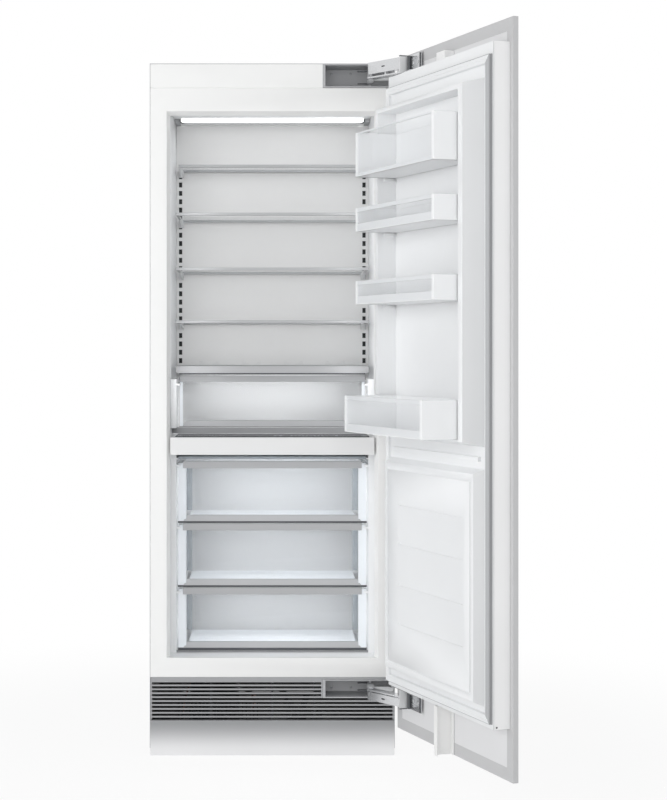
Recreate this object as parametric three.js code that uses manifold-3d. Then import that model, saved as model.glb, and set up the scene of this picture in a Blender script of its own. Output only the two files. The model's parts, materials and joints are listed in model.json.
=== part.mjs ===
// A built-in column refrigerator with its door swung open, in millimetres.
// X runs to the right, Y into the cabinet and Z up. The origin is on the floor,
// under the middle of the cabinet's front plane, on the foot of the plinth.
import * as THREE from 'three';
import { mergeVertices } from 'three/addons/utils/BufferGeometryUtils.js';
import Module from 'manifold-3d';

const wasm = await Module();
wasm.setup();

// Whole cabinet
const width = 756;
const height = 2134;
const depth = 550;
const sheet = 1.2;
const seat = 0.3; // gap between a piece and what carries it
const overrun = 1; // how far a cut runs past the face that it opens

// Heights of the front, from the floor up
const plinthHeight = 108;
const grilleHeight = 133;
const sillHeight = 59;
const lowerHeight = 626;
const mullionHeight = 54;
const headHeight = 124; // from the upper compartment's ceiling to the top
const headDrop = 23; // the front opening's head hangs this far below the ceiling
const bandHeight = 75;

const plinthTop = plinthHeight;
const grilleTop = plinthTop + grilleHeight;
const lowerFloor = grilleTop + sillHeight;
const lowerCeiling = lowerFloor + lowerHeight;
const mullionTop = lowerCeiling + mullionHeight;
const upperCeiling = height - headHeight;
const upperHeight = upperCeiling - mullionTop;
const bandBottom = height - bandHeight;
const halfWidth = width / 2;
const sheetInside = halfWidth - sheet; // inner face of a side sheet
const innerHalf = sheetInside - seat; // half width of what fits between the side sheets

// Front frame and its bevelled opening
const frame = { depth: 25, stile: 52, sideBevel: 10, headBevel: 12, grooveWidth: 2, grooveDepth: 2 };
const openingHalf = halfWidth - frame.stile;
const throatHalf = openingHalf - frame.sideBevel;

// Liners, the steel back wall and its two ladder strips
const liner = {
  relief: 5, wall: 3, backY: depth - 50, cheekY: 89, cheekStep: 20, lowerBackY: depth - 80,
};
const linerHalf = throatHalf + liner.relief;
const cheekHalf = linerHalf - liner.cheekStep;
const backWall = { y: depth - 80, thick: 2 };
const ladder = {
  inner: linerHalf - 22, thick: 4, slotX: linerHalf - 14, slotWidth: 11, slotHeight: 17, pitch: 28,
};
const ladderStartShare = 0.165; // of the upper compartment's height
const ladderLengthShare = 0.69; // of the upper compartment's height
const ladderCount = Math.floor((upperHeight * ladderLengthShare) / ladder.pitch);
const ladderFaceY = backWall.y - ladder.thick;

// Mullion between the compartments, with the control glass on it
const mullion = { frontY: 6 };
const control = { half: throatHalf - 16, frontY: 9, backY: 190, thick: 3 };
const lamp = { half: throatHalf - 16, frontY: 360, thick: 9 };

// Shelves, from the top one down. Heights are shares of the upper compartment.
const shelf = {
  half: linerHalf - 16, trim: 9, arm: 9, gusset: 17, gussetDepth: 150, ledge: 7, glass: 4.5, lip: 3,
  rearBar: 16,
};
const shelfHook = { inner: linerHalf - 21, outer: linerHalf - 10, depth: 12 };
const shelfPlan = [
  { name: '1', front: 291, heightShare: 0.8466, trim: shelf.trim },
  { name: '2', front: 132, heightShare: 0.6835, trim: shelf.trim },
  { name: '3', front: 132, heightShare: 0.5155, trim: shelf.trim },
  { name: '4', front: 128, heightShare: 0.3534, trim: shelf.trim },
  { name: '5', front: 132, heightShare: 0.2126, trim: 22 },
];
const glassClearance = 0.3;

// Bottle cradle on the lowest shelf
const cradle = {
  pitch: 135, saddle: 58, height: 16, frontY: 150, depth: 190, strip: 3, stripWidth: 14, hollow: 34,
  count: 4,
};

// Drawers. The crisper hangs in the upper compartment and the others in the lower one.
const tubWall = 3;
const rim = { out: 10, thick: 6 };
const ledge = { thick: 6, lap: 8 };
const handle = { proud: 8, skin: 2.5, lip: 12 };
const crisperTopShare = 0.1825; // of the upper compartment's height
const crisper = {
  half: linerHalf - 31, frontY: 212, backY: depth - 98, bottom: mullionTop + 25,
  top: mullionTop + upperHeight * crisperTopShare, barHalf: linerHalf - 24, bar: 20, drop: 18,
  ledgeFrontY: 110,
};
const drawer = {
  half: cheekHalf - 15, frontY: 112, backY: depth - 95, barHalf: cheekHalf - 20, bar: 22, gap: 6,
  floorGap: 13, drop: 4,
};
const drawerHeightShares = [0.314, 0.322, 0.312]; // of the lower compartment, lowest drawer first
const cover = {
  half: cheekHalf - 6, frontY: 98, thick: 4, lipHeight: 15, lipDepth: 6, ledge: 4, ledgeReach: 12,
};

// Grille, plinth, base tray and feet
const grille = {
  y: 3, thick: 6, slot: 6, pitch: 12.1, count: 10, firstRise: 3.7, end: 5, ribDepth: 6, ribWidth: 8,
};
const grilleRibShares = [-0.5, 0, 0.35]; // of the half width
const plinth = { frontY: -4, backY: 16, skin: 2.5 };
const tray = { bottom: 22, thick: 2, frontY: 20, flange: 40 };
const skid = { x: halfWidth - 58, width: 40, frontY: depth - 80, depth: 60 };
const foot = { x: halfWidth - 48, y: 70, pad: 18, padHeight: 8, stem: 5, stemTop: 45, bore: 5.5 };

// Machine space
const compressor = {
  x: 188 - halfWidth, y: depth - 150, radius: 82, height: 150, neck: 30, foot: 95, footHeight: 8,
};
const condenser = {
  x: 208 - halfWidth, y: 70, length: 250, depth: 60, height: 130, fin: 2, fins: 22, header: 6,
};
const coolingFan = {
  x: 90, y: 96, z: 112, radius: 66, hub: 20, depth: 22, blade: 3, blades: 5, shaft: 4, post: 24,
};
const evaporatorShares = { bottom: 0.262, height: 0.369 }; // of the upper compartment's height
const evaporator = {
  x: 0, bottom: mullionTop + upperHeight * evaporatorShares.bottom, length: 400, depth: 24,
  height: upperHeight * evaporatorShares.height, fin: 3, fins: 20, header: 8,
};
const coldFanShare = 0.7573; // of the upper compartment's height
const coldFan = {
  x: 0, y: depth - 65, z: mullionTop + upperHeight * coldFanShare, radius: 56, hub: 17, depth: 16, blade: 2.5,
  blades: 7, shaft: 4,
};
const bladeShare = 0.9;
const fanPitchDegrees = 28;
const shaftClearance = 0.5;
const roundSides = 24;
const pinSides = 16;

// Hinge pockets beside the door's hinge edge
const pocket = { left: halfWidth - 222, side: 8, skin: 3.5, depth: 100, back: 3 };
const pocketGap = { topBottom: bandBottom + 1, bottomBottom: plinthTop + 68, bottomTop: grilleTop - 8 };

// Door in its own directions: u from the hinge edge along the door, v from the decor panel inwards
const door = {
  openDegrees: 110, pivotX: halfWidth + 7.5, pivotY: -69.4, edgeX: halfWidth - 3, backY: -60,
};
const decor = { width: width - 6, bottom: plinthTop - 5, thick: 16 };
const shell = {
  u0: 20, u1: decor.width - 18, slant: 25, depth: 46, bottom: grilleTop + 3, top: bandBottom + 10, skin: 1.5,
};
const lug = { u: 340, width: 54, depth: 30, height: 29 };
const fixing = { u: 374, width: 20, depth: 54, skin: 3 };
const face = { thick: 3, margin: 1 };
const dike = {
  u0: 68, u1: decor.width - 68, z0: mullionTop + 10, z1: upperCeiling - 32, draft: 14, crest: 109,
  wall: 18, nearWall: 27, head: 13, sill: 6,
};
const plateau = {
  u0: 68, u1: decor.width - 68, z0: lowerFloor - 4, z1: lowerCeiling + 5, draft: 13, crest: 77, skin: 6,
};
const groove = { width: 5, depth: 2.5, margin: 17, lineShare: 0.14 };
const grooveHeightShares = [0.24, 0.42, 0.61, 0.79]; // of the plateau's height
const sealRib = { u0: 95, u1: decor.width - 90, z: mullionTop - 23, height: 12, proud: 9 };
const gasket = {
  u0: 46.5, u1: decor.width - 22, z0: grilleTop + 17, z1: upperCeiling + 25, band: 19, nearBand: 25, top: 23,
  crest: 59.5,
};
const bin = {
  wall: 3, cap: 14, back: 52, rail: 12, sillRail: 24, window: 3, catchOut: 8, catchRise: 10,
  catchDepth: 30,
};
const binFit = 0.5; // play at each end of a bin
// How far each bin starts above the lowest one and how tall it is, as shares of the
// upper compartment's height
const binRows = [
  { name: '1', startShare: 0.7282, tallShare: 0.1262, reach: 180 },
  { name: '2', startShare: 0.5709, tallShare: 0.068, reach: 180 },
  { name: '3', startShare: 0.3631, tallShare: 0.067, reach: 180 },
  { name: '4', startShare: 0, tallShare: 0.1029, reach: 215 },
];
const lowestBin = dike.z0 + 20;
const binPlan = binRows.map(({ name, startShare, tallShare, reach }) => (
  { name, bottom: lowestBin + upperHeight * startShare, height: upperHeight * tallShare, reach }
));

// Hinges. The arm and the link are two sides of a parallelogram with the door's pivot.
const hinge = {
  armX: halfWidth - 75, armY: 31, radius: 81, swingStartDegrees: 270,
  pin: 5, bore: 5.5, eye: 8.5, boss: 9, plate: 15, web: 2.5, channel: 12, post: 5, slot: 9, slotHeight: 4,
};
const bracket = { u1: 190, v0: 6, v1: 42, plate: 4, wall: 3, wallU: 107 };
// How far each layer of a hinge starts above the door shell's end, and how thick it is
const topLayers = {
  arm: 5, armThick: 3.5, link: 9.3, linkThick: 4, channel: 22, channelHeight: 36, inner: 43,
  innerThick: 4,
};
const footLayers = {
  arm: 25, armThick: 3.5, link: 30, linkThick: 4, channel: 37.5, channelHeight: 25, inner: 47,
  innerThick: 4,
};

const finishes = {
  white: finish(0xf2f2f0, 0.4, 0),
  steel: finish(0xc9cbcd, 0.35, 0.9),
  satin: finish(0xb4b7ba, 0.4, 0.6),
  grey: finish(0xa9abad, 0.5, 0.2),
  dark: finish(0x2b2d30, 0.3, 0.1),
  clear: finish(0xdfe6ea, 0.1, 0),
  glass: finish(0xd3dde0, 0.05, 0),
  panel: finish(0xc4c5c7, 0.55, 0),
  rubber: finish(0x8d8f91, 0.8, 0),
  chrome: finish(0xd9dadb, 0.15, 1),
  foam: finish(0xe4dcae, 0.9, 0),
  black: finish(0x1c1d1f, 0.5, 0.2),
  copper: finish(0xb87a52, 0.35, 0.9),
};

function finish(color, roughness, metalness) {
  return new THREE.MeshStandardMaterial({ color, roughness, metalness });
}

// Solids
function solid(geometry) {
  geometry.deleteAttribute('normal');
  geometry.deleteAttribute('uv');
  const merged = mergeVertices(geometry);
  const vertProperties = new Float32Array(merged.attributes.position.array);
  const triVerts = new Uint32Array(merged.index.array);
  return new wasm.Manifold(new wasm.Mesh({ numProp: 3, vertProperties, triVerts }));
}

function block(x0, x1, y0, y1, z0, z1) {
  const geometry = new THREE.BoxGeometry(x1 - x0, y1 - y0, z1 - z0);
  geometry.translate((x0 + x1) / 2, (y0 + y1) / 2, (z0 + z1) / 2);
  return solid(geometry);
}

// A block whose front and back faces are different rectangles, each {x0, x1, z0, z1}
function taperedBlock(frontY, front, backY, back) {
  const corners = [];
  for (const [y, r] of [[frontY, front], [backY, back]]) {
    corners.push(r.x0, y, r.z0, r.x1, y, r.z0, r.x1, y, r.z1, r.x0, y, r.z1);
  }
  const geometry = new THREE.BufferGeometry();
  geometry.setAttribute('position', new THREE.Float32BufferAttribute(corners, 3));
  geometry.setIndex([
    0, 1, 2, 0, 2, 3, 5, 4, 7, 5, 7, 6, 4, 5, 1, 4, 1, 0,
    3, 2, 6, 3, 6, 7, 4, 0, 3, 4, 3, 7, 1, 5, 6, 1, 6, 2,
  ]);
  return solid(geometry);
}

// An outline of [x, y] points pushed up from z0 to z1
function prism(points, z0, z1) {
  const shape = new THREE.Shape(points.map(([x, y]) => new THREE.Vector2(x, y)));
  const geometry = new THREE.ExtrudeGeometry(shape, { depth: z1 - z0, bevelEnabled: false });
  geometry.translate(0, 0, z0);
  return solid(geometry);
}

// An outline of [y, z] points pushed along X from x0 to x1
function profileAlongX(points, x0, x1) {
  const shape = new THREE.Shape(points.map(([y, z]) => new THREE.Vector2(y, z)));
  const geometry = new THREE.ExtrudeGeometry(shape, { depth: x1 - x0, bevelEnabled: false });
  geometry.rotateX(Math.PI / 2);
  geometry.rotateZ(Math.PI / 2);
  geometry.translate(x0, 0, 0);
  return solid(geometry);
}

function post(x, y, radius, z0, z1) {
  const geometry = new THREE.CylinderGeometry(radius, radius, z1 - z0, pinSides);
  geometry.rotateX(Math.PI / 2);
  geometry.translate(x, y, (z0 + z1) / 2);
  return solid(geometry);
}

function rodAlongY(x, z, radius, y0, y1, sides = pinSides) {
  const geometry = new THREE.CylinderGeometry(radius, radius, y1 - y0, sides);
  geometry.translate(x, (y0 + y1) / 2, z);
  return solid(geometry);
}

function join(first, ...others) {
  return others.reduce((whole, next) => whole.add(next), first);
}

function cut(first, ...tools) {
  return tools.reduce((whole, tool) => whole.subtract(tool), first);
}

function piece(name, shape, material) {
  const { vertProperties, triVerts } = shape.getMesh();
  const geometry = new THREE.BufferGeometry();
  geometry.setAttribute('position', new THREE.Float32BufferAttribute(vertProperties, 3));
  geometry.setIndex(new THREE.Uint32BufferAttribute(triVerts, 1));
  geometry.computeVertexNormals();
  const mesh = new THREE.Mesh(geometry, material);
  mesh.name = name;
  return mesh;
}

// A block on the left or the right of the middle: side is -1 or 1
function sideBlock(side, inner, outer, y0, y1, z0, z1) {
  return block(Math.min(side * inner, side * outer), Math.max(side * inner, side * outer), y0, y1, z0, z1);
}

function bothSides(make) {
  return join(make(-1), make(1));
}

// Cabinet
function cabinetShell() {
  const outside = block(-halfWidth, halfWidth, 0, depth, tray.bottom, height);
  const inside = block(
    -sheetInside, sheetInside, -overrun, depth - sheet, tray.bottom - overrun, height - sheet,
  );
  return piece('cabinet_shell', cut(outside, inside), finishes.steel);
}

function frontFrame() {
  const top = height - sheet - seat;
  const plate = block(-innerHalf, innerHalf, 0, frame.depth, grilleTop, top);
  const sideSlope = frame.sideBevel / frame.depth;
  const headSlope = frame.headBevel / frame.depth;
  const openingTop = upperCeiling - headDrop;
  const rectangle = (y) => ({
    x0: -(openingHalf - sideSlope * y), x1: openingHalf - sideSlope * y,
    z0: lowerFloor, z1: openingTop - headSlope * y,
  });
  const farY = frame.depth + overrun;
  const opening = taperedBlock(-overrun, rectangle(-overrun), farY, rectangle(farY));
  const notch = block(pocket.left - seat, innerHalf + overrun, -overrun, farY, bandBottom, top + overrun);
  const grooveBottom = bandBottom - frame.grooveWidth;
  const line = block(
    -innerHalf - overrun, innerHalf + overrun, -overrun, frame.grooveDepth, grooveBottom, bandBottom,
  );
  return piece('front_frame', cut(plate, opening, notch, line), finishes.white);
}

function upperLiner() {
  const frontY = frame.depth + seat;
  const bottom = mullionTop + seat;
  const outerHalf = linerHalf + liner.wall;
  const outside = block(
    -outerHalf, outerHalf, frontY, liner.backY + liner.wall, bottom, upperCeiling + liner.wall,
  );
  const hollow = block(-linerHalf, linerHalf, frontY - overrun, liner.backY, bottom - overrun, upperCeiling);
  const ledgeTop = crisperRimBottom() - seat;
  const ledges = bothSides((side) => sideBlock(
    side, crisper.half + rim.out - ledge.lap, linerHalf + overrun,
    crisper.ledgeFrontY, ladderFaceY - seat, ledgeTop - ledge.thick, ledgeTop,
  ));
  const shaftEnd = coldFan.y - coldFan.depth / 2 - shaftClearance;
  const shaft = rodAlongY(coldFan.x, coldFan.z, coldFan.shaft, shaftEnd, liner.backY + overrun);
  return piece('upper_liner', join(cut(outside, hollow), ledges, shaft), finishes.white);
}

function lowerLiner() {
  const frontY = frame.depth + seat;
  const outerHalf = linerHalf + liner.wall;
  const top = lowerCeiling - seat;
  const backY = liner.lowerBackY + liner.wall;
  const outside = block(-outerHalf, outerHalf, frontY, backY, lowerFloor - liner.wall, top);
  const mouth = block(-linerHalf, linerHalf, frontY - overrun, liner.cheekY, lowerFloor, top + overrun);
  const chamber = block(-cheekHalf, cheekHalf, frontY, liner.lowerBackY, lowerFloor, top + overrun);
  const recesses = bothSides((side) => sideBlock(
    side, cheekHalf + liner.wall, outerHalf + overrun,
    liner.cheekY + liner.wall, backY - liner.wall, lowerFloor, top - liner.wall,
  ));
  const rails = drawerPlan.map(({ rimBottom }) => bothSides((side) => sideBlock(
    side, drawer.half + rim.out - ledge.lap, cheekHalf + liner.wall,
    liner.cheekY, liner.lowerBackY + overrun, rimBottom - seat - ledge.thick, rimBottom - seat,
  )));
  const coverLedge = bothSides((side) => sideBlock(
    side, cheekHalf - cover.ledgeReach, cheekHalf + liner.wall,
    cover.frontY + cover.lipDepth + seat, liner.lowerBackY + overrun,
    coverBottom - seat - cover.ledge, coverBottom - seat,
  ));
  const body = join(cut(outside, mouth, chamber, recesses), coverLedge, ...rails);
  return piece('lower_liner', body, finishes.white);
}

function backPanel() {
  const half = linerHalf - seat;
  const top = upperCeiling - seat;
  const sheetMetal = block(-half, half, backWall.y, backWall.y + backWall.thick, mullionTop + seat, top);
  const firstZ = mullionTop + upperHeight * ladderStartShare;
  const stripTop = firstZ + ladder.pitch * ladderCount;
  const strips = bothSides((side) => sideBlock(
    side, ladder.inner, half, ladderFaceY, backWall.y + overrun, firstZ - ladder.pitch / 2, stripTop,
  ));
  const slots = [];
  for (let i = 0; i < ladderCount; i += 1) {
    const z = firstZ + ladder.pitch * i;
    slots.push(bothSides((side) => sideBlock(
      side, ladder.slotX - ladder.slotWidth / 2, ladder.slotX + ladder.slotWidth / 2,
      ladderFaceY - overrun, backWall.y + backWall.thick + overrun, z, z + ladder.slotHeight,
    )));
  }
  return piece('back_panel', cut(join(sheetMetal, strips), ...slots), finishes.steel);
}

function mullionBar() {
  const noseY = frame.depth + seat;
  const body = block(
    -linerHalf - liner.wall, linerHalf + liner.wall, noseY, liner.lowerBackY, lowerCeiling, mullionTop,
  );
  const nose = block(
    -throatHalf + seat, throatHalf - seat, mullion.frontY, noseY + overrun, lowerCeiling, mullionTop,
  );
  return piece('mullion', join(body, nose), finishes.white);
}

function controlPanel() {
  const bottom = mullionTop + seat;
  const plate = block(
    -control.half, control.half, control.frontY, control.backY, bottom, bottom + control.thick,
  );
  return piece('control_panel', plate, finishes.dark);
}

function ceilingLight() {
  const top = upperCeiling - seat;
  const plate = block(-lamp.half, lamp.half, lamp.frontY, ladderFaceY - seat, top - lamp.thick, top);
  return piece('ceiling_light', plate, finishes.white);
}

// Insulation fills the space between the outer sheets and the liners
function foamInsulation() {
  const frontY = frame.depth + seat;
  const bottom = grilleTop + seat;
  const body = block(-innerHalf, innerHalf, frontY, depth - sheet - seat, bottom, height - sheet - seat);
  const half = linerHalf + liner.wall + seat;
  const upper = block(
    -half, half, frontY - overrun, liner.backY + liner.wall + seat, lowerCeiling - seat,
    upperCeiling + liner.wall + seat,
  );
  const lower = block(
    -half, half, frontY - overrun, liner.lowerBackY + liner.wall + seat,
    lowerFloor - liner.wall - seat, lowerCeiling + overrun,
  );
  const hingeSpace = block(
    pocket.left - seat, innerHalf + overrun, frontY - overrun, pocket.depth + seat,
    pocketGap.topBottom - seat, height,
  );
  return piece('foam_insulation', cut(body, upper, lower, hingeSpace), finishes.foam);
}

// Shelves
function shelfTop(plan) {
  return mullionTop + upperHeight * plan.heightShare;
}

function shelfFrame(plan) {
  const top = shelfTop(plan);
  const backY = ladderFaceY - seat;
  const outer = block(-shelf.half, shelf.half, plan.front, backY, top - plan.trim, top);
  const gussetY = Math.max(plan.front + shelf.arm, backY - shelf.gussetDepth);
  const gussets = [-1, 1].map((side) => profileAlongX(
    [
      [gussetY, top - plan.trim + overrun],
      [backY, top - plan.trim - shelf.gusset],
      [backY, top - plan.trim + overrun],
    ],
    side > 0 ? shelf.half - shelf.arm : -shelf.half,
    side > 0 ? shelf.half : -shelf.half + shelf.arm,
  ));
  const hooks = bothSides((side) => sideBlock(
    side, shelfHook.inner, shelfHook.outer, backY - shelfHook.depth, backY,
    top - plan.trim - shelf.gusset, top,
  ));
  const seatHalf = shelf.half - shelf.lip;
  const seatFront = plan.front + shelf.lip;
  const rabbet = block(
    -seatHalf, seatHalf, seatFront, backY - shelf.lip, top - shelf.glass - seat, top + overrun,
  );
  const holeHalf = shelf.half - shelf.arm;
  const hole = block(
    -holeHalf, holeHalf, plan.front + shelf.arm + shelf.ledge, backY - shelf.rearBar,
    top - plan.trim - overrun, top,
  );
  return piece(`shelf_frame_${plan.name}`, cut(join(outer, hooks, ...gussets), rabbet, hole), finishes.satin);
}

function shelfGlass(plan) {
  const top = shelfTop(plan);
  const half = shelf.half - shelf.lip - glassClearance;
  const frontY = plan.front + shelf.lip + glassClearance;
  const backY = ladderFaceY - seat - shelf.lip - glassClearance;
  return piece(
    `shelf_glass_${plan.name}`, block(-half, half, frontY, backY, top - shelf.glass, top), finishes.glass,
  );
}

function bottleCradle() {
  const bottom = shelfTop(shelfPlan.at(-1)) + seat;
  const span = cradle.pitch * (cradle.count - 1);
  const backY = cradle.frontY + cradle.depth;
  const parts = [cradle.frontY, backY - cradle.stripWidth].map((y) => block(
    -span / 2 - cradle.saddle / 2, span / 2 + cradle.saddle / 2, y, y + cradle.stripWidth, bottom,
    bottom + cradle.strip,
  ));
  const hollows = [];
  for (let i = 0; i < cradle.count; i += 1) {
    const x = -span / 2 + cradle.pitch * i;
    const top = bottom + cradle.height;
    parts.push(block(x - cradle.saddle / 2, x + cradle.saddle / 2, cradle.frontY, backY, bottom, top));
    const axisZ = bottom + cradle.strip + cradle.hollow;
    hollows.push(rodAlongY(x, axisZ, cradle.hollow, cradle.frontY - overrun, backY + overrun, roundSides));
  }
  return piece('bottle_cradle', cut(join(...parts), ...hollows), finishes.clear);
}

// Drawers
function crisperRimBottom() {
  return crisper.top - crisper.drop - rim.thick;
}

function drawerLevels() {
  let bottom = lowerFloor + drawer.floorGap;
  return drawerHeightShares.map((share, index) => {
    const top = bottom + lowerHeight * share - drawer.gap;
    const rimBottom = top - drawer.drop - rim.thick;
    const plan = { name: String(drawerHeightShares.length - index), bottom, top, rimBottom };
    bottom = top + drawer.gap;
    return plan;
  });
}

const drawerPlan = drawerLevels();
const coverBottom = drawerPlan.at(-1).top + drawer.gap + cover.ledge + seat * 2;

// An open tub with a rim along its sides and a rail along the foot of its front
function tub(name, half, frontY, backY, bottom, top, rimBottom) {
  const outside = block(-half, half, frontY, backY, bottom, top);
  const inside = block(
    -half + tubWall, half - tubWall, frontY + tubWall, backY - tubWall, bottom + tubWall, top + overrun,
  );
  const rims = bothSides((side) => sideBlock(
    side, half - tubWall, half + rim.out, frontY + tubWall, backY, rimBottom, rimBottom + rim.thick,
  ));
  return piece(name, join(cut(outside, inside), rims), finishes.clear);
}

// A front bar with a finger lip, as a profile of [y, z] points pushed along X
function handleBar(name, half, wallY, top, barHeight) {
  const y1 = wallY - seat;
  const y0 = y1 - handle.proud;
  const z0 = top - barHeight;
  const profile = [
    [y0, z0], [y0 + handle.skin, z0], [y0 + handle.skin, top - handle.skin - handle.lip],
    [y1, top - handle.skin - handle.lip], [y1, top], [y0, top],
  ];
  return piece(name, profileAlongX(profile, -half, half), finishes.satin);
}

function crisperPieces() {
  const { half, frontY, backY, bottom, top } = crisper;
  return [
    tub('crisper_tub', half, frontY, backY, bottom, top, crisperRimBottom()),
    handleBar('crisper_handle', crisper.barHalf, frontY, top, crisper.bar),
  ];
}

function drawerPieces(plan) {
  return [
    tub(
      `drawer_tub_${plan.name}`,
      drawer.half, drawer.frontY, drawer.backY, plan.bottom, plan.top, plan.rimBottom,
    ),
    handleBar(`drawer_handle_${plan.name}`, drawer.barHalf, drawer.frontY, plan.top, drawer.bar),
  ];
}

function drawerCover() {
  const backY = liner.lowerBackY - seat;
  const plate = block(-cover.half, cover.half, cover.frontY, backY, coverBottom, coverBottom + cover.thick);
  const lipBottom = coverBottom + cover.thick - cover.lipHeight / 2;
  const lip = block(
    -cover.half, cover.half, cover.frontY, cover.frontY + cover.lipDepth,
    Math.max(lipBottom, drawerPlan.at(-1).top + seat), coverBottom + cover.thick + seat,
  );
  return piece('drawer_cover', join(plate, lip), finishes.glass);
}

// Grille, plinth, tray and feet
function grillePanel() {
  const z0 = plinthTop + seat;
  const z1 = grilleTop - seat;
  const backY = grille.y + grille.thick;
  const panel = block(-innerHalf, innerHalf, grille.y, backY, z0, z1);
  const ribs = grilleRibShares.map((share) => {
    const x = innerHalf * share;
    return block(
      x - grille.ribWidth / 2, x + grille.ribWidth / 2, backY - overrun, backY + grille.ribDepth, z0, z1,
    );
  });
  const slots = [];
  for (let i = 0; i < grille.count; i += 1) {
    const z = plinthTop + grille.firstRise + grille.pitch * i;
    const clearOfPocket = z + grille.slot < pocketGap.bottomBottom - seat;
    const right = clearOfPocket ? innerHalf - grille.end : pocket.left - grille.end;
    const [z0, z1] = [z - grille.slot / 2, z + grille.slot / 2];
    slots.push(block(-innerHalf + grille.end, right, grille.y - overrun, backY, z0, z1));
  }
  const notch = block(
    pocket.left - seat, innerHalf + overrun, grille.y - overrun, backY + overrun,
    pocketGap.bottomBottom - seat, pocketGap.bottomTop + seat,
  );
  return piece('grille', cut(join(cut(panel, ...slots), ...ribs), notch), finishes.satin);
}

function plinthPanel() {
  const body = block(-innerHalf, innerHalf, plinth.frontY, plinth.backY, 0, plinthTop);
  const hollow = block(
    -innerHalf + plinth.skin, innerHalf - plinth.skin, plinth.frontY + plinth.skin, plinth.backY + overrun,
    plinth.skin, plinthTop - plinth.skin,
  );
  return piece('plinth', cut(body, hollow), finishes.steel);
}

function baseTray() {
  const top = tray.bottom + tray.thick;
  const backY = depth - sheet - seat;
  const floor = block(-innerHalf, innerHalf, tray.frontY, backY, tray.bottom, top);
  const flanges = bothSides((side) => sideBlock(
    side, innerHalf - tray.thick, innerHalf, tray.frontY, backY, tray.bottom, tray.bottom + tray.flange,
  ));
  const skids = bothSides((side) => sideBlock(
    side, skid.x - skid.width / 2, skid.x + skid.width / 2, skid.frontY, skid.frontY + skid.depth, 0, top,
  ));
  const postY = coolingFan.y + coolingFan.depth / 2 + shaftClearance;
  const fanPost = block(
    coolingFan.x - coolingFan.post / 2, coolingFan.x + coolingFan.post / 2,
    postY, postY + tray.thick * 2, tray.bottom, coolingFan.z + coolingFan.post / 2,
  );
  const shaftEnd = coolingFan.y - coolingFan.depth / 2;
  const shaft = rodAlongY(coolingFan.x, coolingFan.z, coolingFan.shaft, shaftEnd, postY + overrun);
  const holes = bothSides(
    (side) => post(side * foot.x, foot.y, foot.bore, tray.bottom - overrun, top + overrun),
  );
  return piece('base_tray', cut(join(floor, flanges, skids, fanPost, shaft), holes), finishes.steel);
}

function levellingFoot(name, side) {
  const pad = post(side * foot.x, foot.y, foot.pad, 0, foot.padHeight);
  const stem = post(side * foot.x, foot.y, foot.stem, foot.padHeight - overrun, foot.stemTop);
  return piece(name, join(pad, stem), finishes.black);
}

// Machine pieces
function compressorCan() {
  const { radius, height: tall, neck, foot: base, footHeight } = compressor;
  const outline = [
    [0, 0], [base, 0], [base, footHeight], [radius, footHeight], [radius, tall - neck],
    [radius - neck / 2, tall - neck / 3], [neck, tall], [0, tall],
  ];
  const points = outline.map(([r, z]) => new THREE.Vector2(r, z));
  const geometry = new THREE.LatheGeometry(points, roundSides);
  geometry.rotateX(Math.PI / 2);
  geometry.translate(compressor.x, compressor.y, tray.bottom + tray.thick + seat);
  return piece('compressor', solid(geometry), finishes.black);
}

// A block of upright fins held by a header plate along its top and its foot
function finBlock(name, plan, y0, bottom, material) {
  const x0 = plan.x - plan.length / 2;
  const y1 = y0 + plan.depth;
  const top = bottom + plan.height;
  const parts = [bottom, top - plan.header].map(
    (z) => block(x0, x0 + plan.length, y0, y1, z, z + plan.header),
  );
  const step = (plan.length - plan.fin) / (plan.fins - 1);
  for (let i = 0; i < plan.fins; i += 1) {
    const x = x0 + step * i;
    parts.push(block(x, x + plan.fin, y0, y1, bottom, top));
  }
  return piece(name, join(...parts), material);
}

// A fan on a fixed shaft along Y: a hub with a bore and flat pitched blades
function fan(name, plan) {
  const y0 = plan.y - plan.depth / 2;
  const y1 = plan.y + plan.depth / 2;
  const parts = [rodAlongY(plan.x, plan.z, plan.hub, y0, y1, roundSides)];
  const bladeHeight = plan.depth * bladeShare;
  for (let i = 0; i < plan.blades; i += 1) {
    const geometry = new THREE.BoxGeometry(plan.radius, plan.blade, bladeHeight);
    geometry.translate(plan.radius / 2, 0, 0);
    geometry.rotateX(THREE.MathUtils.degToRad(fanPitchDegrees));
    geometry.rotateY((2 * Math.PI * i) / plan.blades);
    geometry.translate(plan.x, plan.y, plan.z);
    parts.push(solid(geometry));
  }
  const bore = rodAlongY(plan.x, plan.z, plan.shaft + shaftClearance, y0 - overrun, y1 + overrun);
  return piece(name, cut(join(...parts), bore), finishes.black);
}

// Hinge pockets: boxes open to the front, each with the pin that its arm turns on
function hingePocket(name, bottom, top) {
  const right = innerHalf;
  const outside = block(pocket.left, right, 0, pocket.depth, bottom, top);
  const inside = block(
    pocket.left + pocket.side, right - pocket.side, -overrun, pocket.depth - pocket.back,
    bottom + pocket.skin, top - pocket.skin,
  );
  const pin = post(hinge.armX, hinge.armY, hinge.pin, bottom + pocket.skin / 2, top - pocket.skin / 2);
  return piece(name, join(cut(outside, inside), pin), finishes.grey);
}

// Hinge links. Each end of the door has its own layers, measured away from the door shell:
// away is 1 above the shell and -1 below it.
function span(base, away, from, thick) {
  const a = base + away * from;
  const b = base + away * (from + thick);
  return [Math.min(a, b), Math.max(a, b)];
}

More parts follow.
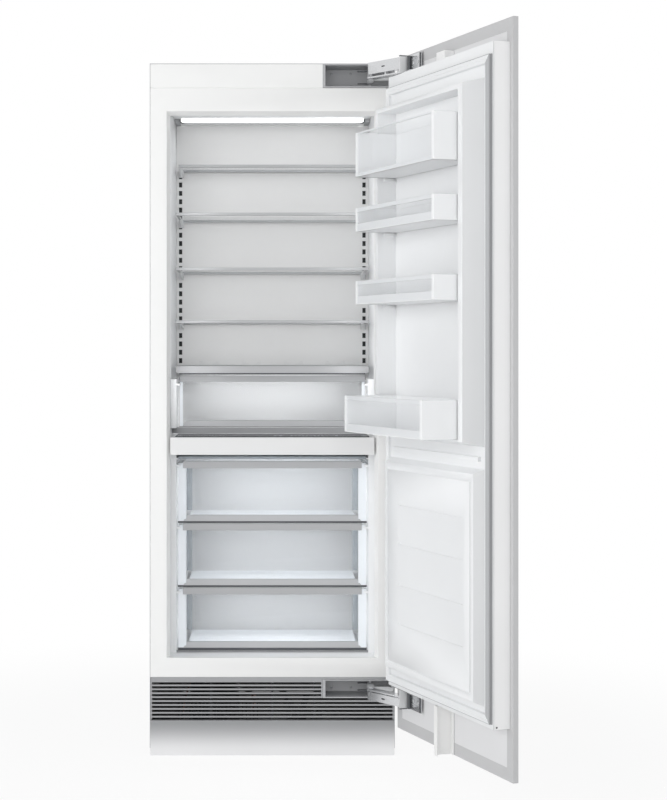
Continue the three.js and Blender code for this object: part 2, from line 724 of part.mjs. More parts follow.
// A flat bar with round ends from one point to another
function bar(from, to, radius, z0, z1) {
  const angle = Math.atan2(to.y - from.y, to.x - from.x);
  const quarter = Math.PI / 2;
  const shape = new THREE.Shape();
  shape.absarc(from.x, from.y, radius, angle + quarter, angle + 3 * quarter, false);
  shape.absarc(to.x, to.y, radius, angle - quarter, angle + quarter, false);
  const geometry = new THREE.ExtrudeGeometry(shape, {
    depth: z1 - z0, bevelEnabled: false, curveSegments: pinSides / 2,
  });
  geometry.translate(0, 0, z0);
  return solid(geometry);
}

const armStart = new THREE.Vector2(hinge.armX, hinge.armY);
const swing = THREE.MathUtils.degToRad(hinge.swingStartDegrees);
const reach = new THREE.Vector2(hinge.radius * Math.cos(swing), hinge.radius * Math.sin(swing));
const armEnd = armStart.clone().add(reach);
const doorPivot = new THREE.Vector2(door.pivotX, door.pivotY);
const linkEnd = doorPivot.clone().add(reach);

function hingeArm(name, base, away, layers) {
  const outer = span(base, away, layers.arm, layers.armThick);
  const inner = span(base, away, layers.inner, layers.innerThick);
  const whole = [Math.min(outer[0], inner[0]), Math.max(outer[1], inner[1])];
  const pinSpan = span(base, away, layers.arm, layers.channel + layers.channelHeight - layers.arm);
  const body = join(
    bar(armStart, armEnd, hinge.eye, ...outer),
    bar(armStart, armEnd, hinge.eye, ...inner),
    post(armStart.x, armStart.y, hinge.boss, ...whole),
    post(armEnd.x, armEnd.y, hinge.pin, ...pinSpan),
  );
  const bore = post(armStart.x, armStart.y, hinge.bore, whole[0] - overrun, whole[1] + overrun);
  return piece(name, cut(body, bore), finishes.chrome);
}

// The link is a round-ended plate with an open channel beside it, joined by a tube and a post
function hingeLink(name, base, away, layers) {
  const plate = span(base, away, layers.link, layers.linkThick);
  const channel = span(base, away, layers.channel, layers.channelHeight);
  const whole = [Math.min(plate[0], channel[0]), Math.max(plate[1], channel[1])];
  const along = linkEnd.clone().sub(armEnd);
  const unit = along.clone().normalize();
  const side = new THREE.Vector2(unit.y, -unit.x);
  const outside = bar(armEnd, linkEnd, hinge.channel, ...channel);
  const towards = (distance) => [
    armEnd.clone().addScaledVector(side, -distance), linkEnd.clone().addScaledVector(side, -distance),
  ];
  const [hollowFrom, hollowTo] = towards(hinge.web);
  const past = hollowTo.clone().addScaledVector(unit, hinge.channel);
  const before = hollowFrom.clone().addScaledVector(unit, -hinge.channel);
  const hollow = bar(before, past, hinge.channel, channel[0] + hinge.web, channel[1] - hinge.web);
  const middle = armEnd.clone().addScaledVector(along, 1 / 2);
  const webMiddle = middle.clone().addScaledVector(side, hinge.channel);
  const slotZ = (channel[0] + channel[1]) / 2;
  const slotPiece = block(
    webMiddle.x - hinge.slot / 2, webMiddle.x + hinge.slot / 2, webMiddle.y - hinge.slot,
    webMiddle.y + hinge.slot,
    slotZ - hinge.slotHeight / 2, slotZ + hinge.slotHeight / 2,
  );
  const body = join(
    cut(outside, hollow, slotPiece),
    bar(armEnd, linkEnd, hinge.plate, ...plate),
    post(linkEnd.x, linkEnd.y, hinge.boss, ...whole),
    post(middle.x, middle.y, hinge.post, ...whole),
  );
  const bores = [armEnd, linkEnd].map(
    (end) => post(end.x, end.y, hinge.bore, whole[0] - overrun, whole[1] + overrun),
  );
  return piece(name, cut(body, ...bores), finishes.chrome);
}

// Door pieces are built in the door's own directions, where local Y is the reverse of v
function doorBlock(u0, u1, v0, v1, z0, z1) {
  return block(u0, u1, -v1, -v0, z0, z1);
}

function doorTaper(v0, base, v1, crest) {
  return taperedBlock(-v1, crest, -v0, base);
}

function shrink(rectangle, by) {
  return { x0: rectangle.x0 + by, x1: rectangle.x1 - by, z0: rectangle.z0 + by, z1: rectangle.z1 - by };
}

function decorPanel() {
  const plate = doorBlock(0, decor.width, -decor.thick, -seat, decor.bottom, height);
  return piece('decor_panel', plate, finishes.panel);
}

function doorShell() {
  const outline = (margin) => [
    [shell.u0 + margin, -margin], [shell.u1 - margin, -margin],
    [shell.u1 - margin, -shell.depth + (margin ? -overrun : 0)],
    [shell.u0 + shell.slant + margin, -shell.depth + (margin ? -overrun : 0)],
  ].reverse();
  const pan = prism(outline(0), shell.bottom, shell.top);
  const inside = prism(outline(shell.skin), shell.bottom + shell.skin, shell.top - shell.skin);
  const topLug = doorBlock(
    lug.u, lug.u + lug.width, 0, lug.depth, shell.top - shell.skin, shell.top + lug.height,
  );
  return piece('door_shell', join(cut(pan, inside), topLug), finishes.white);
}

function panelFixing() {
  const top = shell.bottom - seat;
  const body = doorBlock(fixing.u, fixing.u + fixing.width, 0, fixing.depth, decor.bottom, top);
  const hollow = doorBlock(
    fixing.u + fixing.skin, fixing.u + fixing.width + overrun, fixing.skin, fixing.depth - fixing.skin,
    decor.bottom - overrun, top - fixing.skin,
  );
  return piece('panel_fixing', cut(body, hollow), finishes.white);
}

const faceBack = shell.depth + seat;
const faceFront = faceBack + face.thick;

// The cavity that the bins hang in
const cavity = {
  x0: dike.u0 + dike.draft + dike.wall,
  x1: dike.u1 - dike.draft - dike.nearWall,
  z0: dike.z0 + dike.draft + dike.sill - seat,
  z1: dike.z1 - dike.draft - dike.head,
};

function doorLiner() {
  const flange = doorBlock(
    shell.u0 + shell.slant + face.margin, shell.u1 - face.margin, faceBack, faceFront,
    shell.bottom + face.margin, shell.top - face.margin,
  );
  const ring = { x0: dike.u0, x1: dike.u1, z0: dike.z0, z1: dike.z1 };
  const upper = doorTaper(faceFront - overrun, ring, dike.crest, shrink(ring, dike.draft));
  const well = doorBlock(cavity.x0, cavity.x1, faceFront, dike.crest + overrun, cavity.z0, cavity.z1);
  const field = { x0: plateau.u0, x1: plateau.u1, z0: plateau.z0, z1: plateau.z1 };
  const crest = shrink(field, plateau.draft);
  const lower = doorTaper(faceFront - overrun, field, plateau.crest, crest);
  const hollow = doorBlock(
    crest.x0 + plateau.skin, crest.x1 - plateau.skin, faceBack - overrun, plateau.crest - plateau.skin,
    crest.z0 + plateau.skin, crest.z1 - plateau.skin,
  );
  const ringOuter = shrink(crest, groove.margin);
  const ringInner = shrink(ringOuter, groove.width);
  const grooveFloor = plateau.crest - groove.depth;
  const grooveRing = cut(
    doorBlock(ringOuter.x0, ringOuter.x1, grooveFloor, plateau.crest + overrun, ringOuter.z0, ringOuter.z1),
    doorBlock(
      ringInner.x0, ringInner.x1, grooveFloor - overrun, plateau.crest + overrun * 2,
      ringInner.z0, ringInner.z1,
    ),
  );
  const lineMargin = (crest.x1 - crest.x0) * groove.lineShare;
  const lines = grooveHeightShares.map((share) => {
    const z = plateau.z0 + (plateau.z1 - plateau.z0) * share;
    return doorBlock(
      ringInner.x0 + lineMargin, ringInner.x1 - lineMargin / 2, grooveFloor, plateau.crest + overrun,
      z - groove.width / 2, z + groove.width / 2,
    );
  });
  const rib = doorBlock(
    sealRib.u0, sealRib.u1, faceFront - overrun, faceFront + sealRib.proud,
    sealRib.z - sealRib.height / 2, sealRib.z + sealRib.height / 2,
  );
  const catches = binPlan.slice(0, -1).flatMap(({ bottom }) => [
    [cavity.x0 - overrun, cavity.x0 + bin.catchOut], [cavity.x1 - bin.catchOut, cavity.x1 + overrun],
  ].map(([u0, u1]) => doorBlock(
    u0, u1, faceFront + bin.catchRise, faceFront + bin.catchRise + bin.catchDepth,
    bottom - seat - bin.catchRise, bottom - seat,
  )));
  const upperFrame = cut(join(flange, upper, rib), well);
  const lowerField = cut(join(upperFrame, lower), hollow, grooveRing, ...lines);
  return piece('door_liner', join(lowerField, ...catches), finishes.white);
}

function doorGasket() {
  const v0 = faceFront + seat;
  const outside = doorBlock(gasket.u0, gasket.u1, v0, gasket.crest, gasket.z0, gasket.z1);
  const inside = doorBlock(
    gasket.u0 + gasket.band, gasket.u1 - gasket.nearBand, v0 - overrun, gasket.crest + overrun,
    gasket.z0 + gasket.top, gasket.z1 - gasket.top,
  );
  return piece('door_gasket', cut(outside, inside), finishes.rubber);
}

// A door bin with thick ends, and a front whose rails hold a clear window
function binWindowSpan(plan) {
  const z0 = plan.bottom + bin.sillRail;
  const z1 = plan.bottom + plan.height - bin.rail;
  return { u0: cavity.x0 + binFit + bin.cap, u1: cavity.x1 - binFit - bin.cap, z0, z1 };
}

function doorBin(plan) {
  const u0 = cavity.x0 + binFit;
  const u1 = cavity.x1 - binFit;
  const top = plan.bottom + plan.height;
  const outside = doorBlock(u0, u1, bin.back, plan.reach, plan.bottom, top);
  const inside = doorBlock(
    u0 + bin.cap, u1 - bin.cap, bin.back + bin.wall, plan.reach - bin.window - bin.wall,
    plan.bottom + bin.wall, top + overrun,
  );
  const window = binWindowSpan(plan);
  const opening = doorBlock(
    window.u0, window.u1, plan.reach - bin.window - bin.wall - overrun, plan.reach + overrun, window.z0,
    window.z1,
  );
  return piece(`bin_${plan.name}`, cut(outside, inside, opening), finishes.white);
}

function binWindow(plan) {
  const { u0, u1, z0, z1 } = binWindowSpan(plan);
  const v1 = plan.reach - bin.wall / 2;
  const pane = doorBlock(u0 + seat, u1 - seat, v1 - bin.window, v1, z0 + seat, z1 - seat);
  return piece(`bin_window_${plan.name}`, pane, finishes.clear);
}

// The door's hinge bracket: a plate on the door shell's end, an upright wall and the link's pin
function doorBracket(name, base, away, layers) {
  const local = toDoor(linkEnd);
  const plateSpan = span(base, away, seat, bracket.plate);
  const tall = layers.channel + layers.channelHeight - seat;
  const pinSpan = span(base, away, seat, tall);
  const body = join(
    doorBlock(local.u - hinge.plate, bracket.u1, bracket.v0, bracket.v1, ...plateSpan),
    doorBlock(bracket.wallU, bracket.u1, bracket.v0, bracket.v0 + bracket.wall, ...pinSpan),
    doorBlock(bracket.wallU, bracket.wallU + bracket.wall, bracket.v0, bracket.v1, ...pinSpan),
    post(local.u, -local.v, hinge.pin, ...pinSpan),
  );
  return piece(name, body, finishes.chrome);
}

// The place of a point beside the open door, in the door's own directions
function toDoor(point) {
  const open = THREE.MathUtils.degToRad(door.openDegrees);
  const closed = point.clone().rotateAround(doorPivot, -open);
  return { u: door.edgeX - closed.x, v: closed.y - door.backY };
}

// Assembly
function cabinetGroup() {
  const group = new THREE.Group();
  group.add(
    cabinetShell(), frontFrame(), upperLiner(), lowerLiner(), backPanel(), mullionBar(), controlPanel(),
    ceilingLight(), foamInsulation(), bottleCradle(), drawerCover(), grillePanel(), plinthPanel(), baseTray(),
    levellingFoot('foot_left', -1), levellingFoot('foot_right', 1),
    compressorCan(), fan('condenser_fan', coolingFan), fan('evaporator_fan', coldFan),
    finBlock('condenser', condenser, condenser.y, tray.bottom + tray.thick + seat, finishes.copper),
    finBlock(
      'evaporator', evaporator, liner.backY - seat - evaporator.depth, evaporator.bottom, finishes.steel,
    ),
    hingePocket('hinge_pocket_top', pocketGap.topBottom, height - sheet - seat),
    hingePocket('hinge_pocket_bottom', pocketGap.bottomBottom, pocketGap.bottomTop),
    hingeArm('hinge_arm_top', shell.top, 1, topLayers), hingeLink('hinge_link_top', shell.top, 1, topLayers),
    hingeArm('hinge_arm_bottom', shell.bottom, -1, footLayers),
    hingeLink('hinge_link_bottom', shell.bottom, -1, footLayers),
    ...shelfPlan.map(shelfFrame), ...shelfPlan.map(shelfGlass),
    ...crisperPieces(), ...drawerPlan.flatMap(drawerPieces),
  );
  return group;
}

function doorGroup() {
  const leaf = new THREE.Group();
  leaf.position.set(door.edgeX - door.pivotX, door.backY - door.pivotY, 0);
  leaf.rotation.z = Math.PI;
  leaf.add(
    decorPanel(), doorShell(), panelFixing(), doorLiner(), doorGasket(),
    doorBracket('door_bracket_top', shell.top, 1, topLayers),
    doorBracket('door_bracket_bottom', shell.bottom, -1, footLayers),
    ...binPlan.map(doorBin), ...binPlan.map(binWindow),
  );
  const turned = new THREE.Group();
  turned.position.set(door.pivotX, door.pivotY, 0);
  turned.rotation.z = THREE.MathUtils.degToRad(door.openDegrees);
  turned.add(leaf);
  return turned;
}

const refrigerator = new THREE.Group();
refrigerator.add(cabinetGroup(), doorGroup());

export default refrigerator;
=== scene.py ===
# The looks of the column refrigerator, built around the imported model
import json
from math import atan2, cos, degrees, pi, radians, sin

import bmesh
import bpy
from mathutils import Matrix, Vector

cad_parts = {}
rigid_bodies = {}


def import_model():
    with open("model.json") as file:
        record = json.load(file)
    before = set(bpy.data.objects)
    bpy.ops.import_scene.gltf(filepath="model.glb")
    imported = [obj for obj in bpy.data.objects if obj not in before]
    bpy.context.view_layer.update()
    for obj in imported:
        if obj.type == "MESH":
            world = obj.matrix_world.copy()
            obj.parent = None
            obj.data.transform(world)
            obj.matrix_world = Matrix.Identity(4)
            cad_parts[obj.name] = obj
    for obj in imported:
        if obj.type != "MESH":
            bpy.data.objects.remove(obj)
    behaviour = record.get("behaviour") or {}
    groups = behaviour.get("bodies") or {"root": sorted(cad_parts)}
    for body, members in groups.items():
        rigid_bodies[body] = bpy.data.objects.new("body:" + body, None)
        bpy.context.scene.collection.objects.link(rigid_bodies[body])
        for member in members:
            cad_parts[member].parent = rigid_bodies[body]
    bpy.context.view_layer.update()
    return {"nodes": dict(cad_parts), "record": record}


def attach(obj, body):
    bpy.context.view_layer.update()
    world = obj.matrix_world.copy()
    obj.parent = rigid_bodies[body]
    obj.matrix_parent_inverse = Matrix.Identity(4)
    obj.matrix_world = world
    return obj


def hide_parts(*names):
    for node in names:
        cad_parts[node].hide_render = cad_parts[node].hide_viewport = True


for leftover in list(bpy.data.objects):
    bpy.data.objects.remove(leftover)
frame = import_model()
MM = 0.001
SIDES = (-1, 1)


# Shader nodes
def put(node, **sockets):
    """Sets a node's inputs by their names, with _ for a space."""
    for socket, value in sockets.items():
        node.inputs[socket.replace("_", " ")].default_value = value


def tree_of(owner):
    """The nodes and links of a world or a material."""
    owner.use_nodes = True
    return owner.node_tree.nodes, owner.node_tree.links


def mixed_shader(nodes, links, share, first, second):
    """Two shaders in one: share 0 gives the first, and 1 the second."""
    mix = nodes.new("ShaderNodeMixShader")
    for socket, output in zip(mix.inputs, (share, first, second)):
        links.new(output, socket)
    return mix.outputs[0]


def calculated(nodes, links, operation, first, second):
    """One operation on two outputs."""
    step = nodes.new("ShaderNodeMath")
    step.operation = operation
    for socket, output in zip(step.inputs, (first, second)):
        links.new(output, socket)
    return step.outputs[0]


def smooth_ramp(nodes, links, value, low, high, start=0.0):
    """Runs from start to 1 while the value goes from low to high."""
    ramp = nodes.new("ShaderNodeMapRange")
    ramp.interpolation_type = "SMOOTHSTEP"
    put(ramp, From_Min=low, From_Max=high, To_Min=start)
    links.new(value, ramp.inputs["Value"])
    return ramp.outputs["Result"]


# Finishes
GRAIN_HEIGHT = 0.0004
# The sockets that a Mix node uses for colours
MIX_FACTOR, MIX_COLOURS, MIX_RESULT = 0, (6, 7), 2


def tone(red, green, blue):
    """The linear colour of screen levels from 0 to 255."""
    levels = [v / 255 for v in (red, green, blue)]
    return tuple(((v + 0.055) / 1.055) ** 2.4 if v > 0.04045 else v / 12.92 for v in levels) + (1.0,)


def shaded(colour, factor):
    return tuple(min(1.0, v * factor) for v in colour[:3]) + (1.0,)


def finish(
    name, rgb, rough, metal=0.0, cloud=4.0, contrast=0.03, grain=700, swing=0.05, bump=0.06, fade=None,
    **sockets,
):
    """A Principled finish. Clouds vary its colour by contrast, and a fine grain its roughness by swing and its
    height by bump. cloud and grain are scales per metre, one for all axes or one each. fade is (low z, high z,
    rgb): the colour runs to the second one with height."""
    made = bpy.data.materials.new(f"look_{name}")
    nodes, links = tree_of(made)
    shader = nodes["Principled BSDF"]
    place = nodes.new("ShaderNodeTexCoord")

    def noise(scale, detail):
        mapping = nodes.new("ShaderNodeMapping")
        put(mapping, Scale=scale if isinstance(scale, tuple) else (scale,) * 3)
        links.new(place.outputs["Object"], mapping.inputs["Vector"])
        texture = nodes.new("ShaderNodeTexNoise")
        put(texture, Scale=1.0, Detail=detail)
        links.new(mapping.outputs["Vector"], texture.inputs["Vector"])
        return texture.outputs["Fac"]

    def blend(factor, *colours):
        mix = nodes.new("ShaderNodeMix")
        mix.data_type = "RGBA"
        links.new(factor, mix.inputs[MIX_FACTOR])
        for index, value in zip(MIX_COLOURS, colours):
            if isinstance(value, tuple):
                mix.inputs[index].default_value = value
            else:
                links.new(value, mix.inputs[index])
        return mix.outputs[MIX_RESULT]

    clouds, fine = noise(cloud, detail=3.0), noise(grain, detail=2.0)
    colour = tone(*rgb)
    dark, pale = shaded(colour, 1 - contrast), shaded(colour, 1 + contrast)
    body = blend(clouds, dark, pale)
    if fade:
        low, high, second = fade
        split = nodes.new("ShaderNodeSeparateXYZ")
        links.new(place.outputs["Object"], split.inputs[0])
        body = blend(smooth_ramp(nodes, links, split.outputs["Z"], low, high), body, tone(*second))
    else:
        body = blend(fine, body, blend(clouds, dark, colour))
    links.new(body, shader.inputs["Base Color"])
    spread = nodes.new("ShaderNodeMapRange")
    put(spread, To_Min=max(0.0, rough - swing), To_Max=rough + swing)
    links.new(fine, spread.inputs["Value"])
    links.new(spread.outputs["Result"], shader.inputs["Roughness"])
    relief = nodes.new("ShaderNodeBump")
    put(relief, Strength=bump, Distance=GRAIN_HEIGHT)
    links.new(fine, relief.inputs["Height"])
    links.new(relief.outputs["Normal"], shader.inputs["Normal"])
    put(shader, Metallic=metal, **sockets)
    return made


# Grain that runs along one axis
ALONG_X, ALONG_Z, BOARD = (3, 1400, 1400), (1400, 1400, 4), (900, 900, 60)
BRUSHED = dict(grain=ALONG_X, bump=0.1, Anisotropic=0.4)
LOOKS = dict(
    white_frame=dict(rgb=(243, 243, 242), rough=0.38, Coat_Weight=0.15),
    liner_white=dict(rgb=(240, 241, 242), rough=0.36, Coat_Weight=0.1),
    bin_white=dict(rgb=(244, 245, 246), rough=0.32, Coat_Weight=0.15),
    door_white=dict(rgb=(243, 243, 243), rough=0.42, grain=1100),
    decor_grey=dict(rgb=(198, 198, 199), rough=0.55, grain=BOARD, swing=0.08),
    decor_field=dict(rgb=(226, 226, 227), rough=0.6, grain=BOARD, swing=0.08),
    steel_wall=dict(
        rgb=(222, 222, 222), rough=0.42, metal=0.45, grain=ALONG_X, contrast=0.025, bump=0.12, Anisotropic=0.3,
    ),
    sheet_steel=dict(rgb=(188, 190, 192), rough=0.4, metal=0.75, cloud=30.0, contrast=0.06, grain=220),
    satin_trim=dict(rgb=(178, 179, 181), rough=0.34, metal=0.6, **BRUSHED),
    grille_metal=dict(rgb=(166, 167, 169), rough=0.36, metal=0.6, **BRUSHED),
    # The plinth's steel turns darker towards its top: a painted reflection and shade
    plinth_steel=dict(
        rgb=(236, 236, 237), rough=0.4, metal=0.4, contrast=0.02, fade=(0.01, 0.106, (156, 157, 159)),
        **BRUSHED,
    ),
    pocket_grey=dict(rgb=(182, 183, 185), rough=0.5, metal=0.2, grain=ALONG_X, bump=0.08),
    hinge_chrome=dict(rgb=(214, 215, 217), rough=0.2, metal=0.85, contrast=0.04, swing=0.08),
    hinge_dark=dict(rgb=(96, 98, 101), rough=0.24, metal=0.9, contrast=0.08, swing=0.08),
    gasket_grey=dict(rgb=(160, 161, 163), rough=0.7, contrast=0.04, grain=1500),
    control_glass=dict(rgb=(56, 58, 62), rough=0.25, contrast=0.05, swing=0.03, bump=0.01, Coat_Weight=0.2),
    light_diffuser=dict(rgb=(252, 252, 250), rough=0.6, contrast=0.01, Emission_Strength=1.5),
    shelf_glass=dict(
        rgb=(222, 232, 234), rough=0.04, contrast=0.02, swing=0.02, bump=0.01, Transmission_Weight=0.9,
        Alpha=0.15, IOR=1.45,
    ),
    clear_plastic=dict(
        rgb=(238, 244, 250), rough=0.06, contrast=0.02, swing=0.03, bump=0.02, Transmission_Weight=0.85,
        Alpha=0.08, IOR=1.4,
    ),
    # Frosted plastic with a faint emission: painted light, a glow on pieces that are no lamps
    frosted_glowing=dict(
        rgb=(240, 243, 246), rough=0.3, contrast=0.02, swing=0.06, bump=0.03, Transmission_Weight=0.15,
        Alpha=0.9, IOR=1.4, Emission_Color=(0.9, 0.95, 1.0, 1.0), Emission_Strength=0.12,
    ),
    rail_pale=dict(rgb=(227, 229, 231), rough=0.3, contrast=0.02, swing=0.06, bump=0.03, Coat_Weight=0.2),
    # A darker white: painted shade on the door liner's dikes at the free side, and also the look of the shelves'
    # side arms
    liner_shade=dict(rgb=(220, 221, 222), rough=0.4, Coat_Weight=0.1),
    # The upper liner's side walls darken towards the ceiling: painted shade
    liner_side_shaded=dict(rgb=(240, 241, 242), rough=0.5, fade=(1.9, 2.0, (190, 191, 192))),
    cover_glass=dict(
        rgb=(180, 188, 194), rough=0.2, swing=0.04, bump=0.02, Transmission_Weight=0.3, Alpha=0.85, IOR=1.45,
    ),
    clear_edge=dict(rgb=(226, 234, 240), rough=0.2, bump=0.02, Transmission_Weight=0.3, Alpha=0.5, IOR=1.4),
    # Dark grey: the seal under the lowest shelf, and painted shade under the tubs' fronts and around the ceiling
    # light
    seal_and_shade_dark=dict(rgb=(92, 94, 97), rough=0.6, contrast=0.06, grain=1500),
    bar_white=dict(rgb=(232, 232, 232), rough=0.4, Coat_Weight=0.1),
    # The mid grey of the gasket's crest on the free side: painted shade
    gasket_shaded_mid=dict(rgb=(184, 185, 187), rough=0.65, contrast=0.04, grain=1500),
    bracket_face=dict(rgb=(212, 213, 214), rough=0.3, metal=0.35, grain=ALONG_Z),
    plate_light=dict(rgb=(234, 235, 236), rough=0.35, cloud=30.0),
    black_plastic=dict(rgb=(38, 39, 41), rough=0.55, contrast=0.15),
    black_enamel=dict(rgb=(30, 31, 33), rough=0.3, contrast=0.2, cloud=25.0, Coat_Weight=0.4),
    condenser_fins=dict(rgb=(52, 54, 57), rough=0.45, metal=0.6, contrast=0.15, grain=ALONG_Z),
    evaporator_fins=dict(rgb=(190, 192, 194), rough=0.4, metal=0.8, grain=ALONG_Z),
    foam=dict(rgb=(226, 216, 168), rough=0.9, contrast=0.12, cloud=60.0, grain=400, bump=0.5),
    gasket_pale=dict(rgb=(236, 237, 238), rough=0.6, grain=1500),
    strip_silver=dict(rgb=(188, 189, 191), rough=0.4, metal=0.5, grain=ALONG_X, bump=0.08, Anisotropic=0.3),
    copper=dict(rgb=(190, 122, 84), rough=0.3, metal=0.95, contrast=0.15, cloud=40.0),
    marks=dict(rgb=(206, 210, 214), rough=0.4, contrast=0.02),
    screw_zinc=dict(rgb=(176, 178, 181), rough=0.3, metal=0.9, contrast=0.1, cloud=90.0),
)
finishes = {name: finish(name, **look) for name, look in LOOKS.items()}

slot_of = {name: node.material_slots[0].material.name for name, node in frame["nodes"].items()}
bodies_of = {node: body for body, nodes in frame["record"]["behaviour"]["bodies"].items() for node in nodes}
for node_name, node in frame["nodes"].items():
    for slot in node.material_slots:
        slot.material = finishes[slot_of[node_name]]


# Mesh tools. Forms are made in millimetres and placed in metres.
SHARP_FROM, BEVEL_FROM = radians(35), radians(32)
# CAD corners this close are one, in metres, and CAD faces this nearly in one plane are one
WELD, FLAT = 0.00002, radians(0.5)
# The radius that closes the middle of a turned form
TIP = 0.05


def straight(x, y, z):
    return Vector((x, y, z)) * MM


# The door's pivot, how far its hinge corner lies from that along and across the door, and how far it is open
HINGE_X, HINGE_Y = 385.5, -69.4
EDGE_OUT, EDGE_IN = 10.5, 9.4
OPEN = radians(110)


def on_door(u, v, z):
    """A place on the open door: u from its hinge edge, v inwards from the decor panel."""
    along, inward = u + EDGE_OUT, v + EDGE_IN
    x = HINGE_X - along * cos(OPEN) - inward * sin(OPEN)
    y = HINGE_Y - along * sin(OPEN) + inward * cos(OPEN)
    return Vector((x, y, z)) * MM


def on_axis(axis, height, a, b):
    """A point at a height along one axis, with a and b on the other two."""
    return {"x": (height, a, b), "y": (a, height, b), "z": (a, b, height)}[axis]


class Form:
    """One mesh, collected from closed solids. Its faces take the look that paint counts to."""

    def __init__(self, place=straight):
        self.mesh = bmesh.new()
        self.place = place
        self.paint = 0

    def face(self, corners):
        self.mesh.faces.new(corners).material_index = self.paint

    def band(self, rings, closed, paint=None):
        """Skins rings with as many corners each. closed joins the last one to the first. paint(band, side)
        picks the looks."""
        rows = [[self.mesh.verts.new(self.place(*point)) for point in ring] for ring in rings]
        for number, (low, high) in enumerate(zip(rows, rows[1:] + rows[:1] * closed)):
            for side, square in enumerate(zip(low, low[1:] + low[:1], high[1:] + high[:1], high)):
                if paint:
                    self.paint = paint(number, side)
                self.face(square)
        return rows

    def loft(self, rings):
        """A solid skinned over rings, with a flat face at both ends."""
        rows = self.band(rings, closed=False)
        self.face(rows[0])
        self.face(rows[-1])

    def prism(self, axis, outline, start, end):
        self.loft([[on_axis(axis, height, a, b) for a, b in outline] for height in (start, end)])

    def box(self, x0, x1, y0, y1, z0, z1):
        self.prism("x", [(y0, z0), (y1, z0), (y1, z1), (y0, z1)], x0, x1)

    def lathe(self, centre, axis, profile, sides=24):
        """Turns (radius, rise) points about a line through centre along x, y or z."""
        angles = [2 * pi * i / sides for i in range(sides)]
        rings = []
        for radius, rise in profile:
            shifts = [on_axis(axis, rise, radius * cos(a), radius * sin(a)) for a in angles]
            rings.append([tuple(c + s for c, s in zip(centre, shift)) for shift in shifts])
        self.loft(rings)

    def tube(self, points, radius, sides=12, bend_share=0.45, bend_steps=4):
        """A round pipe through points. Each bend takes a share of the shorter stretch beside it."""
        path = [Vector(p) for p in points]
        smooth = [path[0]]
        for before, corner, after in zip(path, path[1:], path[2:]):
            reach = min((corner - before).length, (after - corner).length) * bend_share
            start = corner + (before - corner).normalized() * reach
            end = corner + (after - corner).normalized() * reach
            for i in range(bend_steps + 1):
                t = i / bend_steps
                smooth.append(start.lerp(corner, t).lerp(corner.lerp(end, t), t))
        smooth.append(path[-1])
        side = (smooth[1] - smooth[0]).normalized().orthogonal().normalized()
        rings = []
        for i, point in enumerate(smooth):
            ahead = (smooth[min(i + 1, len(smooth) - 1)] - smooth[max(i - 1, 0)]).normalized()
            side = (side - ahead * side.dot(ahead)).normalized()
            up = ahead.cross(side)
            rings.append([
                tuple(point + side * radius * cos(a) + up * radius * sin(a))
                for a in (2 * pi * k / sides for k in range(sides))
            ])
        self.loft(rings)

    def done(self, name, body, *looks, slot=None, bevel=0, segments=2, replaces=()):
        bmesh.ops.recalc_face_normals(self.mesh, faces=self.mesh.faces)
        dress(self.mesh, name, body, looks, bevel, replaces, segments)


def added(name, data):
    """A new object, in the scene."""
    made = bpy.data.objects.new(name, data)
    bpy.context.scene.collection.objects.link(made)
    return made


def dress(mesh, name, body, looks, bevel, replaces, segments=2):
    """Makes a piece with its looks and rounded edges, which rides on the body and stands for nodes."""
    data = bpy.data.meshes.new(name)
    for polygon in mesh.faces:
        polygon.smooth = True
    mesh.to_mesh(data)
    mesh.free()
    data.set_sharp_from_angle(angle=SHARP_FROM)
    for look in looks:
        data.materials.append(finishes[look])
    made = added(name, data)
    if bevel:
        rounding = made.modifiers.new("rounding", "BEVEL")
        rounding.width = bevel * MM
        rounding.segments = segments
        rounding.limit_method = "ANGLE"
        rounding.angle_limit = BEVEL_FROM
        rounding.harden_normals = True
    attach(made, body)
    if replaces:
        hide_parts(*replaces)


def soften(node, bevel, look=None, shade=None):
    """Stands for a CAD node with its own shape, its edges rounded. shade is (test, look): the faces that
    pass the test take the look."""
    mesh = bmesh.new()
    mesh.from_mesh(frame["nodes"][node].data)
    bmesh.ops.remove_doubles(mesh, verts=mesh.verts, dist=WELD)
    bmesh.ops.dissolve_limit(mesh, angle_limit=FLAT, verts=mesh.verts, edges=mesh.edges)
    bmesh.ops.triangulate(mesh, faces=[face for face in mesh.faces if len(face.verts) > 4])
    slot = slot_of[node]
    looks = [look or slot]
    if shade:
        test, second = shade
        looks.append(second)
        mesh.normal_update()
        for face in mesh.faces:
            face.material_index = int(test(face))
    dress(mesh, f"{node}_moulded", bodies_of[node], looks, bevel, (node,))


